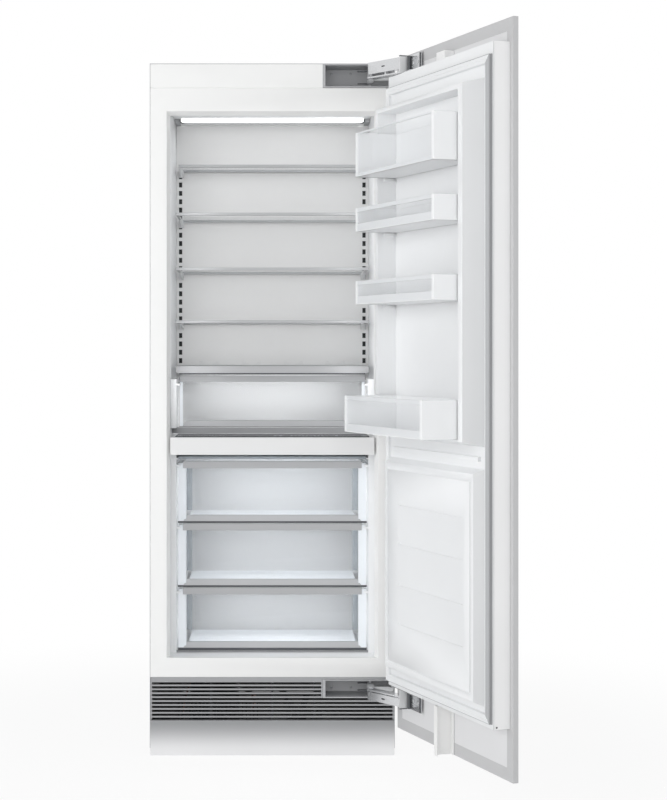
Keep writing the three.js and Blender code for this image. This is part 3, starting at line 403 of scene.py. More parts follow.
def plate(form, axis, a_range, b_range, outer, inner, presses=(), holes=(), slope=5.0, paint=None):
    """A flat sheet that faces along the axis, over a and b between two depths. presses are
    (a0, a1, b0, b1, depth) fields pushed in from the outer face, and holes are (a0, a1, b0, b1) left open."""
    away = 1 if outer > inner else -1

    def cuts(ends, low, high):
        marks = {*ends}
        for p in presses:
            marks |= {p[low], p[low] + slope, p[high] - slope, p[high]}
        for h in holes:
            marks |= {h[low], h[high]}
        return sorted(m for m in marks if ends[0] <= m <= ends[1])

    across, up = cuts(a_range, 0, 1), cuts(b_range, 2, 3)

    def sunk(a, b):
        depth = 0.0
        for a0, a1, b0, b1, deep in presses:
            rise = min(a - a0, a1 - a, b - b0, b1 - b) / slope
            depth = max(depth, deep * min(1.0, max(0.0, rise)))
        return depth

    def is_open(i, j):
        if not (0 <= i < len(across) - 1 and 0 <= j < len(up) - 1):
            return True
        a, b = (across[i] + across[i + 1]) / 2, (up[j] + up[j + 1]) / 2
        return any(a0 < a < a1 and b0 < b < b1 for a0, a1, b0, b1 in holes)

    corners = {}

    def corner(i, j, is_inner):
        key = (i, j, is_inner)
        if key not in corners:
            a, b = across[i], up[j]
            c = inner if is_inner else outer - away * sunk(a, b)
            corners[key] = form.mesh.verts.new(form.place(*on_axis(axis, c, a, b)))
        return corners[key]

    for i in range(len(across) - 1):
        for j in range(len(up) - 1):
            if is_open(i, j):
                continue
            square = [(i, j), (i + 1, j), (i + 1, j + 1), (i, j + 1)]
            form.paint = paint(across[i:i + 2], up[j:j + 2]) if paint else 0
            form.face([corner(*p, False) for p in square])
            form.paint = 0
            form.face([corner(*p, True) for p in square])
            beyond = [(i, j - 1), (i + 1, j), (i, j + 1), (i - 1, j)]
            for p, q, neighbour in zip(square, square[1:] + square[:1], beyond):
                if is_open(*neighbour):
                    form.face([corner(*p, False), corner(*q, False), corner(*q, True), corner(*p, True)])


def turn(centre, radius, start, stop, steps=8):
    """Points on an arc, from one angle in degrees to another."""
    angles = [radians(start + (stop - start) * i / steps) for i in range(steps + 1)]
    return [(centre[0] + radius * cos(a), centre[1] + radius * sin(a)) for a in angles]


def oblong(x, z, half_x, half_z, corner=None):
    """The outline of a rectangle with rounded corners."""
    r = corner or min(half_x, half_z)
    points = []
    for cx, cz, start in ((1, 1, 0), (-1, 1, 90), (-1, -1, 180), (1, -1, 270)):
        points += turn((x + cx * (half_x - r), z + cz * (half_z - r)), r, start, start + 90, steps=5)
    return points


def span(side, inner, outer):
    """The two ends of a stretch on one side of the middle, the lower one first."""
    return sorted((side * inner, side * outer))


# A domed screw head with a driver hole, as shares of its radius and rise
SCREW_SHARES = ((1, 0), (1, 0.4), (0.86, 0.8), (0.5, 1), (0.34, 1), (0.3, 0.4))


def screw(form, centre, axis, radius, rise):
    """A screw head whose top faces along the axis, towards where rise points."""
    profile = [(radius * wide, rise * tall) for wide, tall in SCREW_SHARES]
    form.lathe(centre, axis, [*profile, (TIP, profile[-1][1])], sides=16)


def screws(name, body, slot, heads, place=straight):
    """One piece of screw heads, each with its centre, axis, radius and rise."""
    form = Form(place)
    for head in heads:
        screw(form, *head)
    form.done(name, body, "screw_zinc", slot=slot)


# Camera and light, in metres, degrees and watts
camera_data = bpy.data.cameras.new("camera")
camera_data.lens = 80.33
camera_data.sensor_width = 36
camera_data.shift_x = 0.0765
camera_data.shift_y = -0.0625
camera_data.clip_end = 60
camera = added("camera", camera_data)
camera.location = (0, -5.508, 1.25)
camera.rotation_euler = (radians(90), 0, 0)
bpy.context.scene.camera = camera
bpy.context.scene.view_settings.view_transform = "Standard"


def lamp(name, at, aim, size, power):
    """A softbox that gives plain light and no reflection of itself."""
    data = bpy.data.lights.new(name, "AREA")
    data.shape = "RECTANGLE"
    data.size, data.size_y = size
    data.energy = power
    made = added(name, data)
    made.location = at
    made.visible_glossy = False
    made.rotation_euler = (Vector(aim) - Vector(at)).to_track_quat("-Z", "Y").to_euler()


lamp("front_light", at=(-0.6, -6.6, 1.6), aim=(0, 0.2, 1.0), size=(5.0, 3.0), power=114)
lamp("left_light", at=(-4.2, -2.6, 1.75), aim=(0.3, 0, 1.0), size=(2.5, 3.0), power=88)
lamp("right_light", at=(4.0, -3.2, 2.4), aim=(0.3, -0.2, 1.1), size=(2.5, 3.0), power=25)
# The cabinet's own light: two strips inside the front edges of the upper compartment, one under its ceiling
# and one in each tub, all facing inwards
for side in SIDES:
    lamp(
        f"strip_upper_{side}", at=(side * 0.25, 0.05, 1.5), aim=(side * 0.05, 0.45, 1.5), size=(0.03, 0.9),
        power=0.52,
    )
lamp("strip_ceiling", at=(0, 0.3, 1.985), aim=(0, 0.47, 1.85), size=(0.56, 0.04), power=0.17)
# How high and how deep in the cabinet each tub's strip sits, from the crisper down, and its power
TUB_LAMPS = ((1.15, 0.31, 0.85), (0.89, 0.2, 0.75), (0.697, 0.2, 0.56), (0.495, 0.2, 0.57))
TUB_AIM_BACK, TUB_AIM_DOWN = 0.1, 0.3
for number, (level, depth, power) in enumerate(TUB_LAMPS):
    lamp(
        f"strip_tub_{number}", at=(0, depth, level), aim=(0, depth + TUB_AIM_BACK, level - TUB_AIM_DOWN),
        size=(0.5, 0.06), power=power,
    )


def seen_directly(nodes, links):
    """1 where the camera, a reflection or a clear piece looks, and 0 for plain light."""
    path = nodes.new("ShaderNodeLightPath")
    seen = path.outputs["Is Camera Ray"]
    for kind in ("Is Glossy Ray", "Is Transmission Ray"):
        seen = calculated(nodes, links, "MAXIMUM", seen, path.outputs[kind])
    return seen


def studio():
    """White for the camera, gloss and glass, and a softer even light for the rest."""
    world = bpy.data.worlds.new("studio")
    bpy.context.scene.world = world
    nodes, links = tree_of(world)
    soft, white = nodes["Background"], nodes.new("ShaderNodeBackground")
    put(soft, Color=(0.98, 0.99, 1.0, 1.0), Strength=0.45)
    put(white, Color=(1.0, 1.0, 1.0, 1.0), Strength=1.0)
    mix = mixed_shader(nodes, links, seen_directly(nodes, links), soft.outputs[0], white.outputs[0])
    links.new(mix, nodes["World Output"].inputs["Surface"])


def floor_piece():
    """A pale floor that keeps the shadow near the object and runs out to pure white."""
    reach, shadow_reach, white_from, least_white = 14.0, 0.9, 2.4, 0.9
    data = bpy.data.meshes.new("floor")
    corners = [(reach * across, reach * deep, 0) for across, deep in ((-1, -1), (1, -1), (1, 1), (-1, 1))]
    data.from_pydata(corners, [], [(0, 1, 2, 3)])
    made = added("floor", data)
    paper = bpy.data.materials.new("floor_paper")
    nodes, links = tree_of(paper)
    matt, white = nodes["Principled BSDF"], nodes.new("ShaderNodeEmission")
    put(matt, Base_Color=(0.93, 0.93, 0.93, 1.0), Roughness=0.9, Specular_IOR_Level=0.1)
    place = nodes.new("ShaderNodeTexCoord")
    distance = nodes.new("ShaderNodeVectorMath")
    distance.operation = "LENGTH"
    links.new(place.outputs["Object"], distance.inputs[0])
    ramp = smooth_ramp(nodes, links, distance.outputs["Value"], shadow_reach, white_from, start=least_white)
    share = calculated(nodes, links, "MULTIPLY", ramp, seen_directly(nodes, links))
    mix = mixed_shader(nodes, links, share, matt.outputs[0], white.outputs[0])
    links.new(mix, nodes["Material Output"].inputs["Surface"])
    data.materials.append(paper)


studio()
floor_piece()


# Moulded and pressed pieces that keep their CAD shape, and how far their edges are rounded
ROUNDED = dict(
    front_frame=0.8, upper_liner=1.2, lower_liner=1.2, mullion=1.5, plinth=1.0, drawer_cover=0.6,
    bottle_cradle=0.6, crisper_tub=0.9, crisper_handle=0.8, door_shell=0.6, door_liner=1.2, panel_fixing=0.8,
    hinge_pocket_top=0.6, hinge_pocket_bottom=0.6, hinge_arm_top=0.3, hinge_arm_bottom=0.3,
    hinge_link_top=0.4, hinge_link_bottom=0.4, ceiling_light=0.8, control_panel=0.5,
)
SHELVES, DRAWERS, CLEAR_WINDOWS = range(1, 6), range(1, 4), range(2, 5)
for number in SHELVES:
    ROUNDED[f"shelf_frame_{number}"] = 0.9
    ROUNDED[f"shelf_glass_{number}"] = 0.6
for number in DRAWERS:
    ROUNDED[f"drawer_tub_{number}"] = 0.9
    ROUNDED[f"drawer_handle_{number}"] = 0.8
for number in CLEAR_WINDOWS:
    ROUNDED[f"bin_window_{number}"] = 0.6
RESTYLED = dict(
    mullion="bar_white", drawer_cover="cover_glass", hinge_arm_top="pocket_grey",
    hinge_arm_bottom="pocket_grey",
)
# Where the free side's dikes start, from the door's hinge edge
DIKES_FROM = 640
# In metres: the shelves' side arms from the middle, how deep they start, and the liner's side walls
ARMS_FROM, ARMS_DEEP, WALLS_FROM, WALLS_TO = 0.293, 0.3, 0.3, 0.3215
FREE_SIDE = Vector((-cos(OPEN), -sin(OPEN), 0))


def faces_free_side(face):
    """The outer walls of the door liner's dikes, beside the door's free edge, which take a darker look: painted
    shade.
    """
    along = (face.calc_center_median() - Vector((HINGE_X, HINGE_Y, 0)) * MM).dot(FREE_SIDE) / MM - EDGE_OUT
    return along > DIKES_FROM and face.normal.dot(FREE_SIDE) > 0.5


def at_sides(face):
    """The side arms of a shelf frame and the lugs that hook into the ladder strips."""
    centre = face.calc_center_median()
    return abs(centre.x) > ARMS_FROM and centre.y > ARMS_DEEP


def is_side_wall(face):
    """The inner faces of the liner's two side walls, which darken towards the top with painted shade."""
    return abs(face.normal.x) > 0.9 and WALLS_FROM < abs(face.calc_center_median().x) < WALLS_TO


SHADED = {
    "door_liner": (faces_free_side, "liner_shade"), "upper_liner": (is_side_wall, "liner_side_shaded"),
    **{f"shelf_frame_{number}": (at_sides, "liner_shade") for number in SHELVES},
}
for node_name, width in ROUNDED.items():
    soften(node_name, width, look=RESTYLED.get(node_name), shade=SHADED.get(node_name))


# Cabinet: pressed steel skin, louvre grille and small fittings
HALF, DEEP, FOOT_Z, TOP_Z, SHEET = 378.0, 550.0, 22.0, 2134.0, 1.2
# How far out the inner pieces reach that fit between the liner's side walls
WALL_GAP, WALL_SEAT, WALL = 320.4, 320.6, 321


def cabinet_skin():
    """Sheets with pressed fields at the sides, back and top, air slots low in the back, and their screws."""
    pressed, edge, slot_wide, slot_tall = 0.9, 330, 92, 5
    tall = (FOOT_Z, TOP_Z - SHEET)
    side_fields = [(40, 510, low, high, pressed) for low, high in ((150, 760), (800, 1410), (1450, 2060))]
    back_rows = ((320, 880), (930, 1490), (1540, 2070), (70, 262))
    back_fields = [(-edge, edge, low, high, pressed) for low, high in back_rows]
    top_fields = [(left, right, 140, 500, pressed) for left, right in ((-edge, 120), (150, edge))]
    slots = [(x, x + slot_wide, z, z + slot_tall) for x in range(-300, 165, 116) for z in range(92, 236, 16)]
    skin = Form()
    for side in SIDES:
        plate(skin, "x", (0, DEEP - SHEET), tall, side * HALF, side * (HALF - SHEET), side_fields)
    plate(skin, "y", (-HALF, HALF), tall, DEEP, DEEP - SHEET, back_fields, slots)
    plate(skin, "z", (-HALF, HALF), (0, DEEP), TOP_Z, TOP_Z - SHEET, top_fields)
    skin.done("cabinet_skin", "cabinet", "sheet_steel", replaces=("cabinet_shell",))
    size, rise = 4, 1.0
    places = [(x, DEEP - rise, z) for x in (-350, -176, 0, 176, 350) for z in (300, 905, 1515, 2100)]
    heads = [(place, "y", size, rise) for place in places]
    for side in SIDES:
        places = [(side * (HALF - rise), y, z) for z in (120, 780, 1430, 2090) for y in (18, 530)]
        heads += [(place, "x", size, side * rise) for place in places]
    for x, y in ((-350, 120), (-350, 520), (135, 120), (135, 520), (350, 520), (-100, 120)):
        heads.append(((x, y, TOP_Z - rise), "z", size, rise))
    screws("cabinet_screws", "cabinet", "sheet_steel", heads)


def grille():
    """A face plate with slots and a notch for the bottom hinge, and slanted blades with posts behind it."""
    low, high, half, front, back = 108.3, 240.7, 376.5, 3.0, 9.0
    notch_left, notch_low, notch_high = 155.7, 175.7, 233.3
    slot_end, slot_half, short_end, first_slot, pitch = 371.5, 3.6, 151.0, 111.7, 12.1
    posts, post_wide, post_back, post_short = (-192, -3, 128), 6, 14.8, 2
    blade_front, blade_back = 9.3, 14.6
    holes = [(notch_left, half, notch_low, notch_high)]
    blades = Form()
    for row in range(10):
        z = first_slot + pitch * row
        right = short_end if z > notch_low else slot_end
        holes.append((-slot_end, right, z - slot_half, z + slot_half))
        blade = [(blade_front, z + 4.2), (blade_back, z - 0.4), (blade_back, z - 1.8), (blade_front, z + 2.8)]
        for x0, x1 in zip((-slot_end, *(x + post_wide for x in posts)), (*posts, right)):
            blades.prism("x", blade, x0, x1)
    for x in posts:
        blades.box(x, x + post_wide, blade_front, post_back, low + post_short, high - post_short)
    face = Form()
    plate(face, "y", (-half, half), (low, high), front, back, holes=holes)
    face.done("grille_face", "cabinet", "grille_metal", bevel=0.9, segments=3, replaces=("grille",))
    blades.done("grille_louvres", "cabinet", "black_plastic")
    size, rise, level = 2.6, -0.9, 230.5
    heads = [((x, front, level), "y", size, rise) for x in (-366, 148)]
    screws("grille_screws", "cabinet", "grille_metal", heads)


def liner_plugs():
    """Oblong covers on the side walls, near the front."""
    middle, half_wide, half_tall, levels = 58, 8.5, 17, (1753.8, 1532.4, 1307.7)
    # How far each ring stands off the wall, and how much smaller it is
    domed = ((0.2, 0), (3.2, 0), (4.6, 0.8), (5.2, 2.2))
    plugs = Form()
    for side in SIDES:
        for z in levels:
            rows = []
            for inward, trim in domed:
                outline = oblong(middle, z, half_wide - trim, half_tall - trim)
                rows.append([(side * (WALL - inward), y, height) for y, height in outline])
            plugs.loft(rows)
    plugs.done("liner_plugs", "cabinet", "bin_white", slot="liner_white")


def crisper_guides():
    """White guides with three ribs that close the gaps between the crisper and the side walls."""
    front, rear, low, high = 108, 246, 1003.6, 1158.4
    outline = [(302, front), (302, 240), (306, rear), (WALL_SEAT, rear), (WALL_SEAT, front), (311, 105.5)]
    rib_inner, rib_outer, rib_front, rib_rear, rib_tall = 301, 304, 212, 234, 6
    guides = Form()
    for side in SIDES:
        guides.prism("z", [(side * x, y) for x, y in outline], low, high)
        for z in (1016, 1060, 1104):
            guides.box(*span(side, rib_inner, rib_outer), rib_front, rib_rear, z, z + rib_tall)
    guides.done("crisper_guides", "cabinet", "bin_white", slot="liner_white", bevel=1.2)


def shade_blocks_and_seal():
    """Grey blocks of painted shade in the gaps at the crisper and under the lowest drawer, and the seal under
    the lowest shelf.
    """
    crisper_shade_block = [(199, 983.5), (214, 983.5), (214, 1002.4), (207, 1002.4)]
    drawer_shade_block = [(99, 300.2), (111.5, 300.2), (111.5, 305.3), (103, 305.3)]
    shade_blocks = Form()
    for outline in (crisper_shade_block, drawer_shade_block):
        shade_blocks.prism("x", outline, -WALL_GAP, WALL_GAP)
    shade_blocks.done("tub_shade_blocks", "cabinet", "gasket_grey", slot="satin_trim", bevel=0.6)
    seal = Form()
    seal.box(-294, 294, 138, 146, 1172.6, 1176.8)
    seal.done("shelf_5_seal", "cabinet", "seal_and_shade_dark", slot="satin_trim", bevel=0.3)


def ladder_slot_shade():
    """Black plates that close the slots of the two ladder strips from behind: painted shade inside the slots."""
    inner, outer, front, back = 301.7, 312.3, 470, 471.6
    first, pitch, tall, count = 1150.2, 27.995, 16.5, 25
    backs = Form()
    for side in SIDES:
        for step in range(count):
            low = first + pitch * step
            backs.box(*span(side, inner, outer), front, back, low, low + tall)
    backs.done("ladder_slot_shade", "cabinet", "black_plastic", slot="steel_wall")


# Each tub's front, floor and upper edge, half its width inside and outside, half its strip's width and how far
# that draws in upwards, how far its dark strip of painted shade hangs, and how much further its corners reach
# back and up
TUBS = (
    ("crisper", 212, 1005, 1148, 286, 296, 288, 14, 0.9, 0, 0),
    ("drawer_1", 112, 711.1, 878.4, 270, 295, 280, 13, 5.2, 3, 16),
    ("drawer_2", 112, 509.6, 683.1, 270, 295, 280, 13, 5.2, 3, 16),
    ("drawer_3", 112, 313, 481.6, 270, 295, 280, 13, 7.0, 3, 16),
)


def tub_front(name, front, low, high, inner, outer, strip, ease, hang, step_back, step_up):
    """What a clear tub carries at its front: a sloped metal strip, a dark strip of painted shade below it, and
    two frosted corners with a faint painted glow.
    """
    nose, back, strip_tall, lean = front - 6.4, front - 0.2, 21, 2.6
    rings = []
    for y_low, y_high, ease_share, rise_share in ((nose, nose + lean, 0.85, 0.9), (back, back, 1.0, 1.0)):
        foot, top, short = low + 0.6, low + strip_tall * rise_share, strip - ease * ease_share
        rings.append([(-strip, y_low, foot), (strip, y_low, foot), (short, y_high, top), (-short, y_high, top)])
    metal = Form()
    metal.loft(rings)
    metal.done(f"{name}_front_strip", name, "strip_silver", slot="satin_trim", bevel=0.7)
    # A dark strip below the tub's front edge: painted shade in the gap under the tub
    seal = Form()
    past_side, shade_inset, shade_top = 2, 1.2, 0.5
    seal.box(-outer - past_side, outer + past_side, nose + shade_inset, back, low - hang, low + shade_top)
    seal.done(f"{name}_front_shade_strip", name, "seal_and_shade_dark", slot="satin_trim", bevel=0.3)
    corners = Form()
    gap, inset, clear_of_floor = 0.4, 1, 1
    for side in SIDES:
        x0, x1 = span(side, inner + gap, outer)
        outline = [(x0, nose + inset), (x1, nose + inset), (x1, back + step_back), (x0, back)]
        corners.prism("z", outline, low + clear_of_floor, high + step_up)
    corners.done(f"{name}_corners", name, "frosted_glowing", slot="clear_plastic", bevel=1.0)


def tub_floor(name, front, low, inner):
    """Five low ribs on a tub's floor."""
    first, pitch, wide, ease, shorter, foot, top = 45, 52, 14, 2, 20, low + 3.1, low + 4.3
    ribs = Form()
    for k in range(5):
        y = front + first + pitch * k
        outline = [(y, foot), (y + wide, foot), (y + wide - ease, top), (y + ease, top)]
        ribs.prism("x", outline, shorter - inner, inner - shorter)
    ribs.done(f"{name}_floor_ribs", name, "clear_plastic")


def drawer_fittings(name, front, low, high, inner):
    """A drawer's frosted floor mat, with a faint painted glow, and its clear rear edges."""
    mat = Form()
    shorter, mat_front, mat_rear, mat_low, mat_high = 3, 6, 449, 3.1, 3.9
    mat.box(shorter - inner, inner - shorter, front + mat_front, mat_rear, low + mat_low, low + mat_high)
    mat.done(f"{name}_floor_mat", name, "frosted_glowing", slot="clear_plastic", bevel=0.3)
    edges = Form()
    edge_low, edge_high, thick = low + 4.4, high - 4, 3
    for side in SIDES:
        x0, x1 = span(side, 267, 285)
        edges.prism("z", [(x0, 448), (x1, 444), (x1, 444 + thick), (x0, 448 + thick)], edge_low, edge_high)
    edges.done(f"{name}_rear_edges", name, "clear_edge", slot="clear_plastic", bevel=0.6)


def control_marks():
    """Unlettered touch marks on the control glass: a row of strokes, and three rings with a dot in each."""
    low, high, row = 983.35, 983.6, 44
    first, pitch, stroke, thick, thin = 60, 12, 3.4, 2.6, 1.3
    ring_places, outer, inner, dot = (8, 26, 200), 4.6, 3.2, 1.1
    marks = Form()
    for k in range(9):
        marks.prism("z", oblong(first + pitch * k, row, stroke, thin if k % 2 else thick), low, high)
    for x in ring_places:
        profile = ((outer, low), (outer, high), (inner, high), (inner, low))
        marks.band([[(px, py, z) for px, py in oblong(x, row, r, r)] for r, z in profile], closed=True)
    for x in ring_places:
        marks.prism("z", oblong(x, row, dot, dot), low, high)
    marks.done("control_marks", "cabinet", "marks", slot="control_glass")


def lamp_trim():
    """The ceiling light's surround: steel rails; grey end blocks and dark inner blocks and wedges, painted shade
    in the ceiling's corners; and a dark line between the blocks, painted shade along the rails' front edge.
    """
    low, high, top, lift = 1998.9, 2000.5, 2009.4, 0.2
    front, rear, wall = 396, 465, 469.6
    block_front, nose, nose_rise, block_rear = 357, 360, 3, 464
    steel, grey, dark = range(3)
    shade_rear, shade_line_half, shade_line_hang = front - 2.4, 299.8, 0.6

    def block(back):
        return [(block_front, low + nose_rise), (nose, low), (back, low), (back, top), (block_front, top)]

    trim = Form()
    trim.paint = steel
    trim.prism("x", [(front, low + 0.8), (front + 2, low), (rear, low), (rear, high), (front, high)], -305, 305)
    trim.box(-288, 288, block_rear, wall, low + lift, high)
    # The grey and dark blocks and wedges beside the light: painted shade in the ceiling's corners
    trim.paint = grey
    for side in SIDES:
        trim.prism("x", block(block_rear), *span(side, 305.2, WALL_GAP))
    trim.paint = dark
    for side in SIDES:
        trim.prism("x", block(shade_rear), *span(side, 300.4, 304))
        wedge = [(300.2, nose), (300.2, shade_rear), (290, shade_rear)]
        trim.prism("z", [(side * x, y) for x, y in wedge], low + lift, high)
    # A dark line along the rails' front edge: painted shade
    trim.box(-shade_line_half, shade_line_half, front - 2.2, front - 0.2, low - shade_line_hang, high)
    trim.done("lamp_trim", "cabinet", "steel_wall", "gasket_grey", "seal_and_shade_dark", slot="liner_white", bevel=0.4)


# Machine space. Turned profiles are radius and height above the base tray.
CAN_X, CAN_Y, TRAY_Z = -190, 400, 24.6
CAN = (
    (20, 12), (72, 14), (80, 24), (81.5, 52), (81.5, 70), (84.5, 71), (84.5, 77), (81.5, 78), (81.5, 112),
    (78, 128), (66, 141), (44, 148), (18, 150),
)
CAN_CAP = ((30, 148), (30, 149.4), (6, 149.4))
GROMMET = ((9, 0), (10, 2), (7, 5), (10, 8), (9, 13), (5, 14))
# Radius and route of the pipes from the compressor to the condenser, to the compressor and to the evaporator
PIPES = (
    (4, (-112, 410, 96), (-70, 410, 96), (-58, 380, 120), (-58, 160, 120), (-60, 133, 120), (-60, 128, 120)),
    (5, (-150, 470, 140), (-150, 500, 160), (-60, 510, 190), (60, 510, 205), (120, 512, 225)),
    (3, (-282, 131, 60), (-290, 160, 50), (-296, 300, 44), (-296, 470, 60), (-280, 505, 130), (-120, 520, 215)),
)


def compressor():
    """A welded can on a cross-shaped plate, with its cap, terminal cover, rubber feet and pipes."""
    can = Form()
    for profile, sides in ((CAN, 48), (CAN_CAP, 24)):
        can.lathe((CAN_X, CAN_Y, 0), "z", [(radius, TRAY_Z + rise) for radius, rise in profile], sides)
    for half_x, half_y, low in ((94, 62, TRAY_Z + 6), (60, 94, TRAY_Z + 6.2)):
        can.prism("z", oblong(CAN_X, CAN_Y, half_x, half_y, corner=18), low, low + 6)
    cover_z, half_x, half_z, corner = TRAY_Z + 72, 26, 30, 6
    can.loft([
        [(x, y, z) for x, z in oblong(CAN_X, cover_z, half_x - trim, half_z - trim, corner)]
        for y, trim in ((316, 3), (318, 0), (330, 0))
    ])
    can.done("compressor_can", "cabinet", "black_enamel", replaces=("compressor",))
    feet = Form()
    foot_x, foot_y = 78, 50
    for deep in SIDES:
        for across in SIDES:
            centre = (CAN_X + foot_x * across, CAN_Y + foot_y * deep, TRAY_Z)
            feet.lathe(centre, "z", GROMMET, sides=20)
    feet.done("compressor_grommets", "cabinet", "black_plastic", slot="black_enamel")
    pipes = Form()
    for radius, *route in PIPES:
        pipes.tube(route, radius)
    pipes.done("refrigerant_pipes", "cabinet", "copper", slot="sheet_steel")


def levelling_feet():
    """A round pad with a hexagon for a wrench, and a threaded stem."""
    foot_x, foot_y, hexagon, hex_low, hex_high = 330, 70, 9.5, 7.4, 9.6
    core, crest, pitch, threads, thread_low = 4.3, 5.0, 2.0, 17, 8.0
    profile = [(17.9, 0), (17.9, 3), (15, 7.8), (8, 8)]
    for k in range(threads):
        z = thread_low + pitch * k
        profile += [(core, z + 0.6), (crest, z + 1.3)]
    profile += [(core, 44.6), (2.5, 45)]
    for side, body, node in ((-1, "foot_l", "foot_left"), (1, "foot_r", "foot_right")):
        centre = (side * foot_x, foot_y)
        turned = Form()
        turned.lathe((*centre, 0), "z", profile, sides=28)
        turned.prism("z", turn(centre, hexagon, 0, 300, steps=5), hex_low, hex_high)
        turned.done(f"{node}_turned", body, "black_plastic", replaces=(node,))


cabinet_skin()
grille()
liner_plugs()
crisper_guides()
shade_blocks_and_seal()
ladder_slot_shade()
for name, front, low, high, inner, *others in TUBS:
    tub_front(name, front, low, high, inner, *others)
    tub_floor(name, front, low, inner)
    if name != "crisper":
        drawer_fittings(name, front, low, high, inner)
control_marks()
lamp_trim()
compressor()
levelling_feet()


# Door, in u from its hinge edge, v inwards from the decor panel, and z
def decor_panel():
    """The furniture panel: a darker border, and a lighter field a little lower on its inner face."""
    low, wide, border, inner_face, outer_face = 103.0, 750.0, 35.0, -0.3, -16.0
    left, right, bottom, top = border, wide - border, low + border, TOP_Z - border
    sunk, slope, margin = 0.5, 0.6, 1

    def paint(us, zs):
        """1, the lighter look, inside the field, and 0 on the border."""
        across = left - margin < us[0] and us[1] < right + margin
        return int(across and bottom - margin < zs[0] and zs[1] < top + margin)

    panel = Form(on_door)
    field = (left, right, bottom, top, sunk)
    plate(panel, "y", (0.0, wide), (low, TOP_Z), inner_face, outer_face, [field], slope=slope, paint=paint)
    panel.done("decor_board", "door", "decor_grey", "decor_field", bevel=0.6, replaces=("decor_panel",))


def gasket():
    """A bellows seal with two folds and a magnet channel along its crest."""
    u0, u1, z0, z1 = 46.5, 728.0, 258.0, 2035.0
    near, far, ends = 25.0, 19.0, 23.0
    base, crest = 49.6, 59.5
    # Shares of the seal's width and height, across it from its outer foot to its inner one
    profile_shares = [
        (0.0, 0.0), (0.0, 0.28), (0.1, 0.4), (0.02, 0.54), (0.02, 0.84), (0.1, 1.0), (0.42, 1.0), (0.46, 0.88),
        (0.54, 0.88), (0.58, 1.0), (0.9, 1.0), (0.98, 0.84), (0.98, 0.54), (0.9, 0.4), (1.0, 0.28), (1.0, 0.0),
    ]
    free_side, outer_bands = 1, 5
    outer_fold, shaded_free_crest, elsewhere = range(3)
    rings = []
    for across, rise in profile_shares:
        v = base + (crest - base) * rise
        left, right, end = u0 + far * across, u1 - near * across, ends * across
        rings.append([(left, v, z0 + end), (right, v, z0 + end), (right, v, z1 - end), (left, v, z1 - end)])

    def paint(band, side):
        """Grey outer folds all round, a paler grey crest of painted shade on the free side, and pale elsewhere.
        """
        if band < outer_bands:
            return outer_fold
        return shaded_free_crest if side == free_side else elsewhere

    seal = Form(on_door)
    seal.band(rings, closed=True, paint=paint)
    seal.done("gasket_bellows", "door", "gasket_grey", "gasket_shaded_mid", "gasket_pale", replaces=("door_gasket",))


def door_details():
    """Screws of the hinge brackets at both ends, and a plug in the free edge."""
    size, depth, ends = 3.6, 24.0, ((2073.6, 1.2), (239.4, -1.2))
    heads = [((u, depth, z), "z", size, rise) for u in (128, 152, 176) for z, rise in ends]
    screws("door_screws", "door", "door_white", heads, on_door)
    plug = Form(on_door)
    plug.lathe((732, 39, 250), "x", [(2.6, -0.4), (2.6, 0.3), (2.0, 0.7), (TIP, 0.7)], sides=20)
    plug.done("door_edge_plug", "door", "black_plastic", slot="door_white")


# Each bin's floor and upper edge, how far it reaches inwards, and the height of its frame's sill and rail
BINS = {
    1: (1760.0, 1890.0, 180, 11, 5), 2: (1598.0, 1668.1, 180, 24, 12), 3: (1384.0, 1453.0, 180, 24, 12),
    4: (1010.0, 1116.0, 215, 24, 12),
}
# The bins' ends, how thick their end caps are, how far the body is set in from them, and where bins start
BIN_U0, BIN_U1, BIN_CAP, BIN_NECK, BIN_BACK = 100.5, 640.5, 14, 6, 52


def door_bin(number, low, high, reach, sill, rail):
    """A bin with white ends, a pale frame round the clear window, and grip ribs on the floor."""
    name, wall, neck_to, cap_from = f"door_bin_{number}", 3, 105, 117
    frame_back, frame_front, overlap = reach - 6, reach - 0.2, 0.5
    body = Form(on_door)
    for end, inward in ((BIN_U0, 1), (BIN_U1, -1)):
        cap, neck = end + inward * BIN_CAP, end + inward * BIN_NECK
        sides = [(cap, BIN_BACK), (neck, BIN_BACK), (neck, neck_to), (end, cap_from), (end, reach), (cap, reach)]
        body.prism("z", sides, low, high)
    left, right = BIN_U0 + BIN_NECK, BIN_U1 - BIN_NECK
    body.box(left, right, BIN_BACK, reach, low, low + wall)
    body.box(left, right, BIN_BACK, BIN_BACK + wall, low, high)
    body.paint = 1
    frame_left, frame_right = BIN_U0 + BIN_CAP - overlap, BIN_U1 - BIN_CAP + overlap
    for base, top in ((low, low + sill), (high - rail, high)):
        body.box(frame_left, frame_right, frame_back, frame_front, base, top)
    body.done(f"bin_{number}_body", name, "bin_white", "rail_pale", bevel=1.1, replaces=(f"bin_{number}",))
    if number == 1:
        taller_pane(low + sill, high - rail, reach)
    ribs = Form(on_door)
    first, pitch, wide, ease, rise, inset = 140, 57.5, 3, 0.6, 1.2, 14
    foot, top = low + wall, low + wall + rise
    for k in range(9):
        u = first + pitch * k
        ribs.loft([
            [(u, v, foot), (u + wide, v, foot), (u + wide - ease, v, top), (u + ease, v, top)]
            for v in (BIN_BACK + 10, reach - inset)
        ])
    ribs.done(f"bin_{number}_ribs", name, "bin_white")


def taller_pane(low, high, reach):
    """The first bin's window, which fills its whole frame."""
    middle_u, half_u, gap, corner = 370.5, 255.7, 0.3, 2
    pane = Form(on_door)
    outline = oblong(middle_u, (low + high) / 2, half_u, (high - low) / 2 - gap, corner)
    pane.prism("y", outline, reach - 4.5, reach - 1.5)
    pane.done("bin_1_pane", "door_bin_1", "clear_plastic", bevel=0.6, replaces=("bin_window_1",))


decor_panel()
gasket()
door_details()
for number, sizes in BINS.items():
    door_bin(number, *sizes)


# Hinges
ARM_PIVOT, LINK_PIVOT, DOOR_PIVOT = (303, 31), (303, -50), (385.5, -150.4)


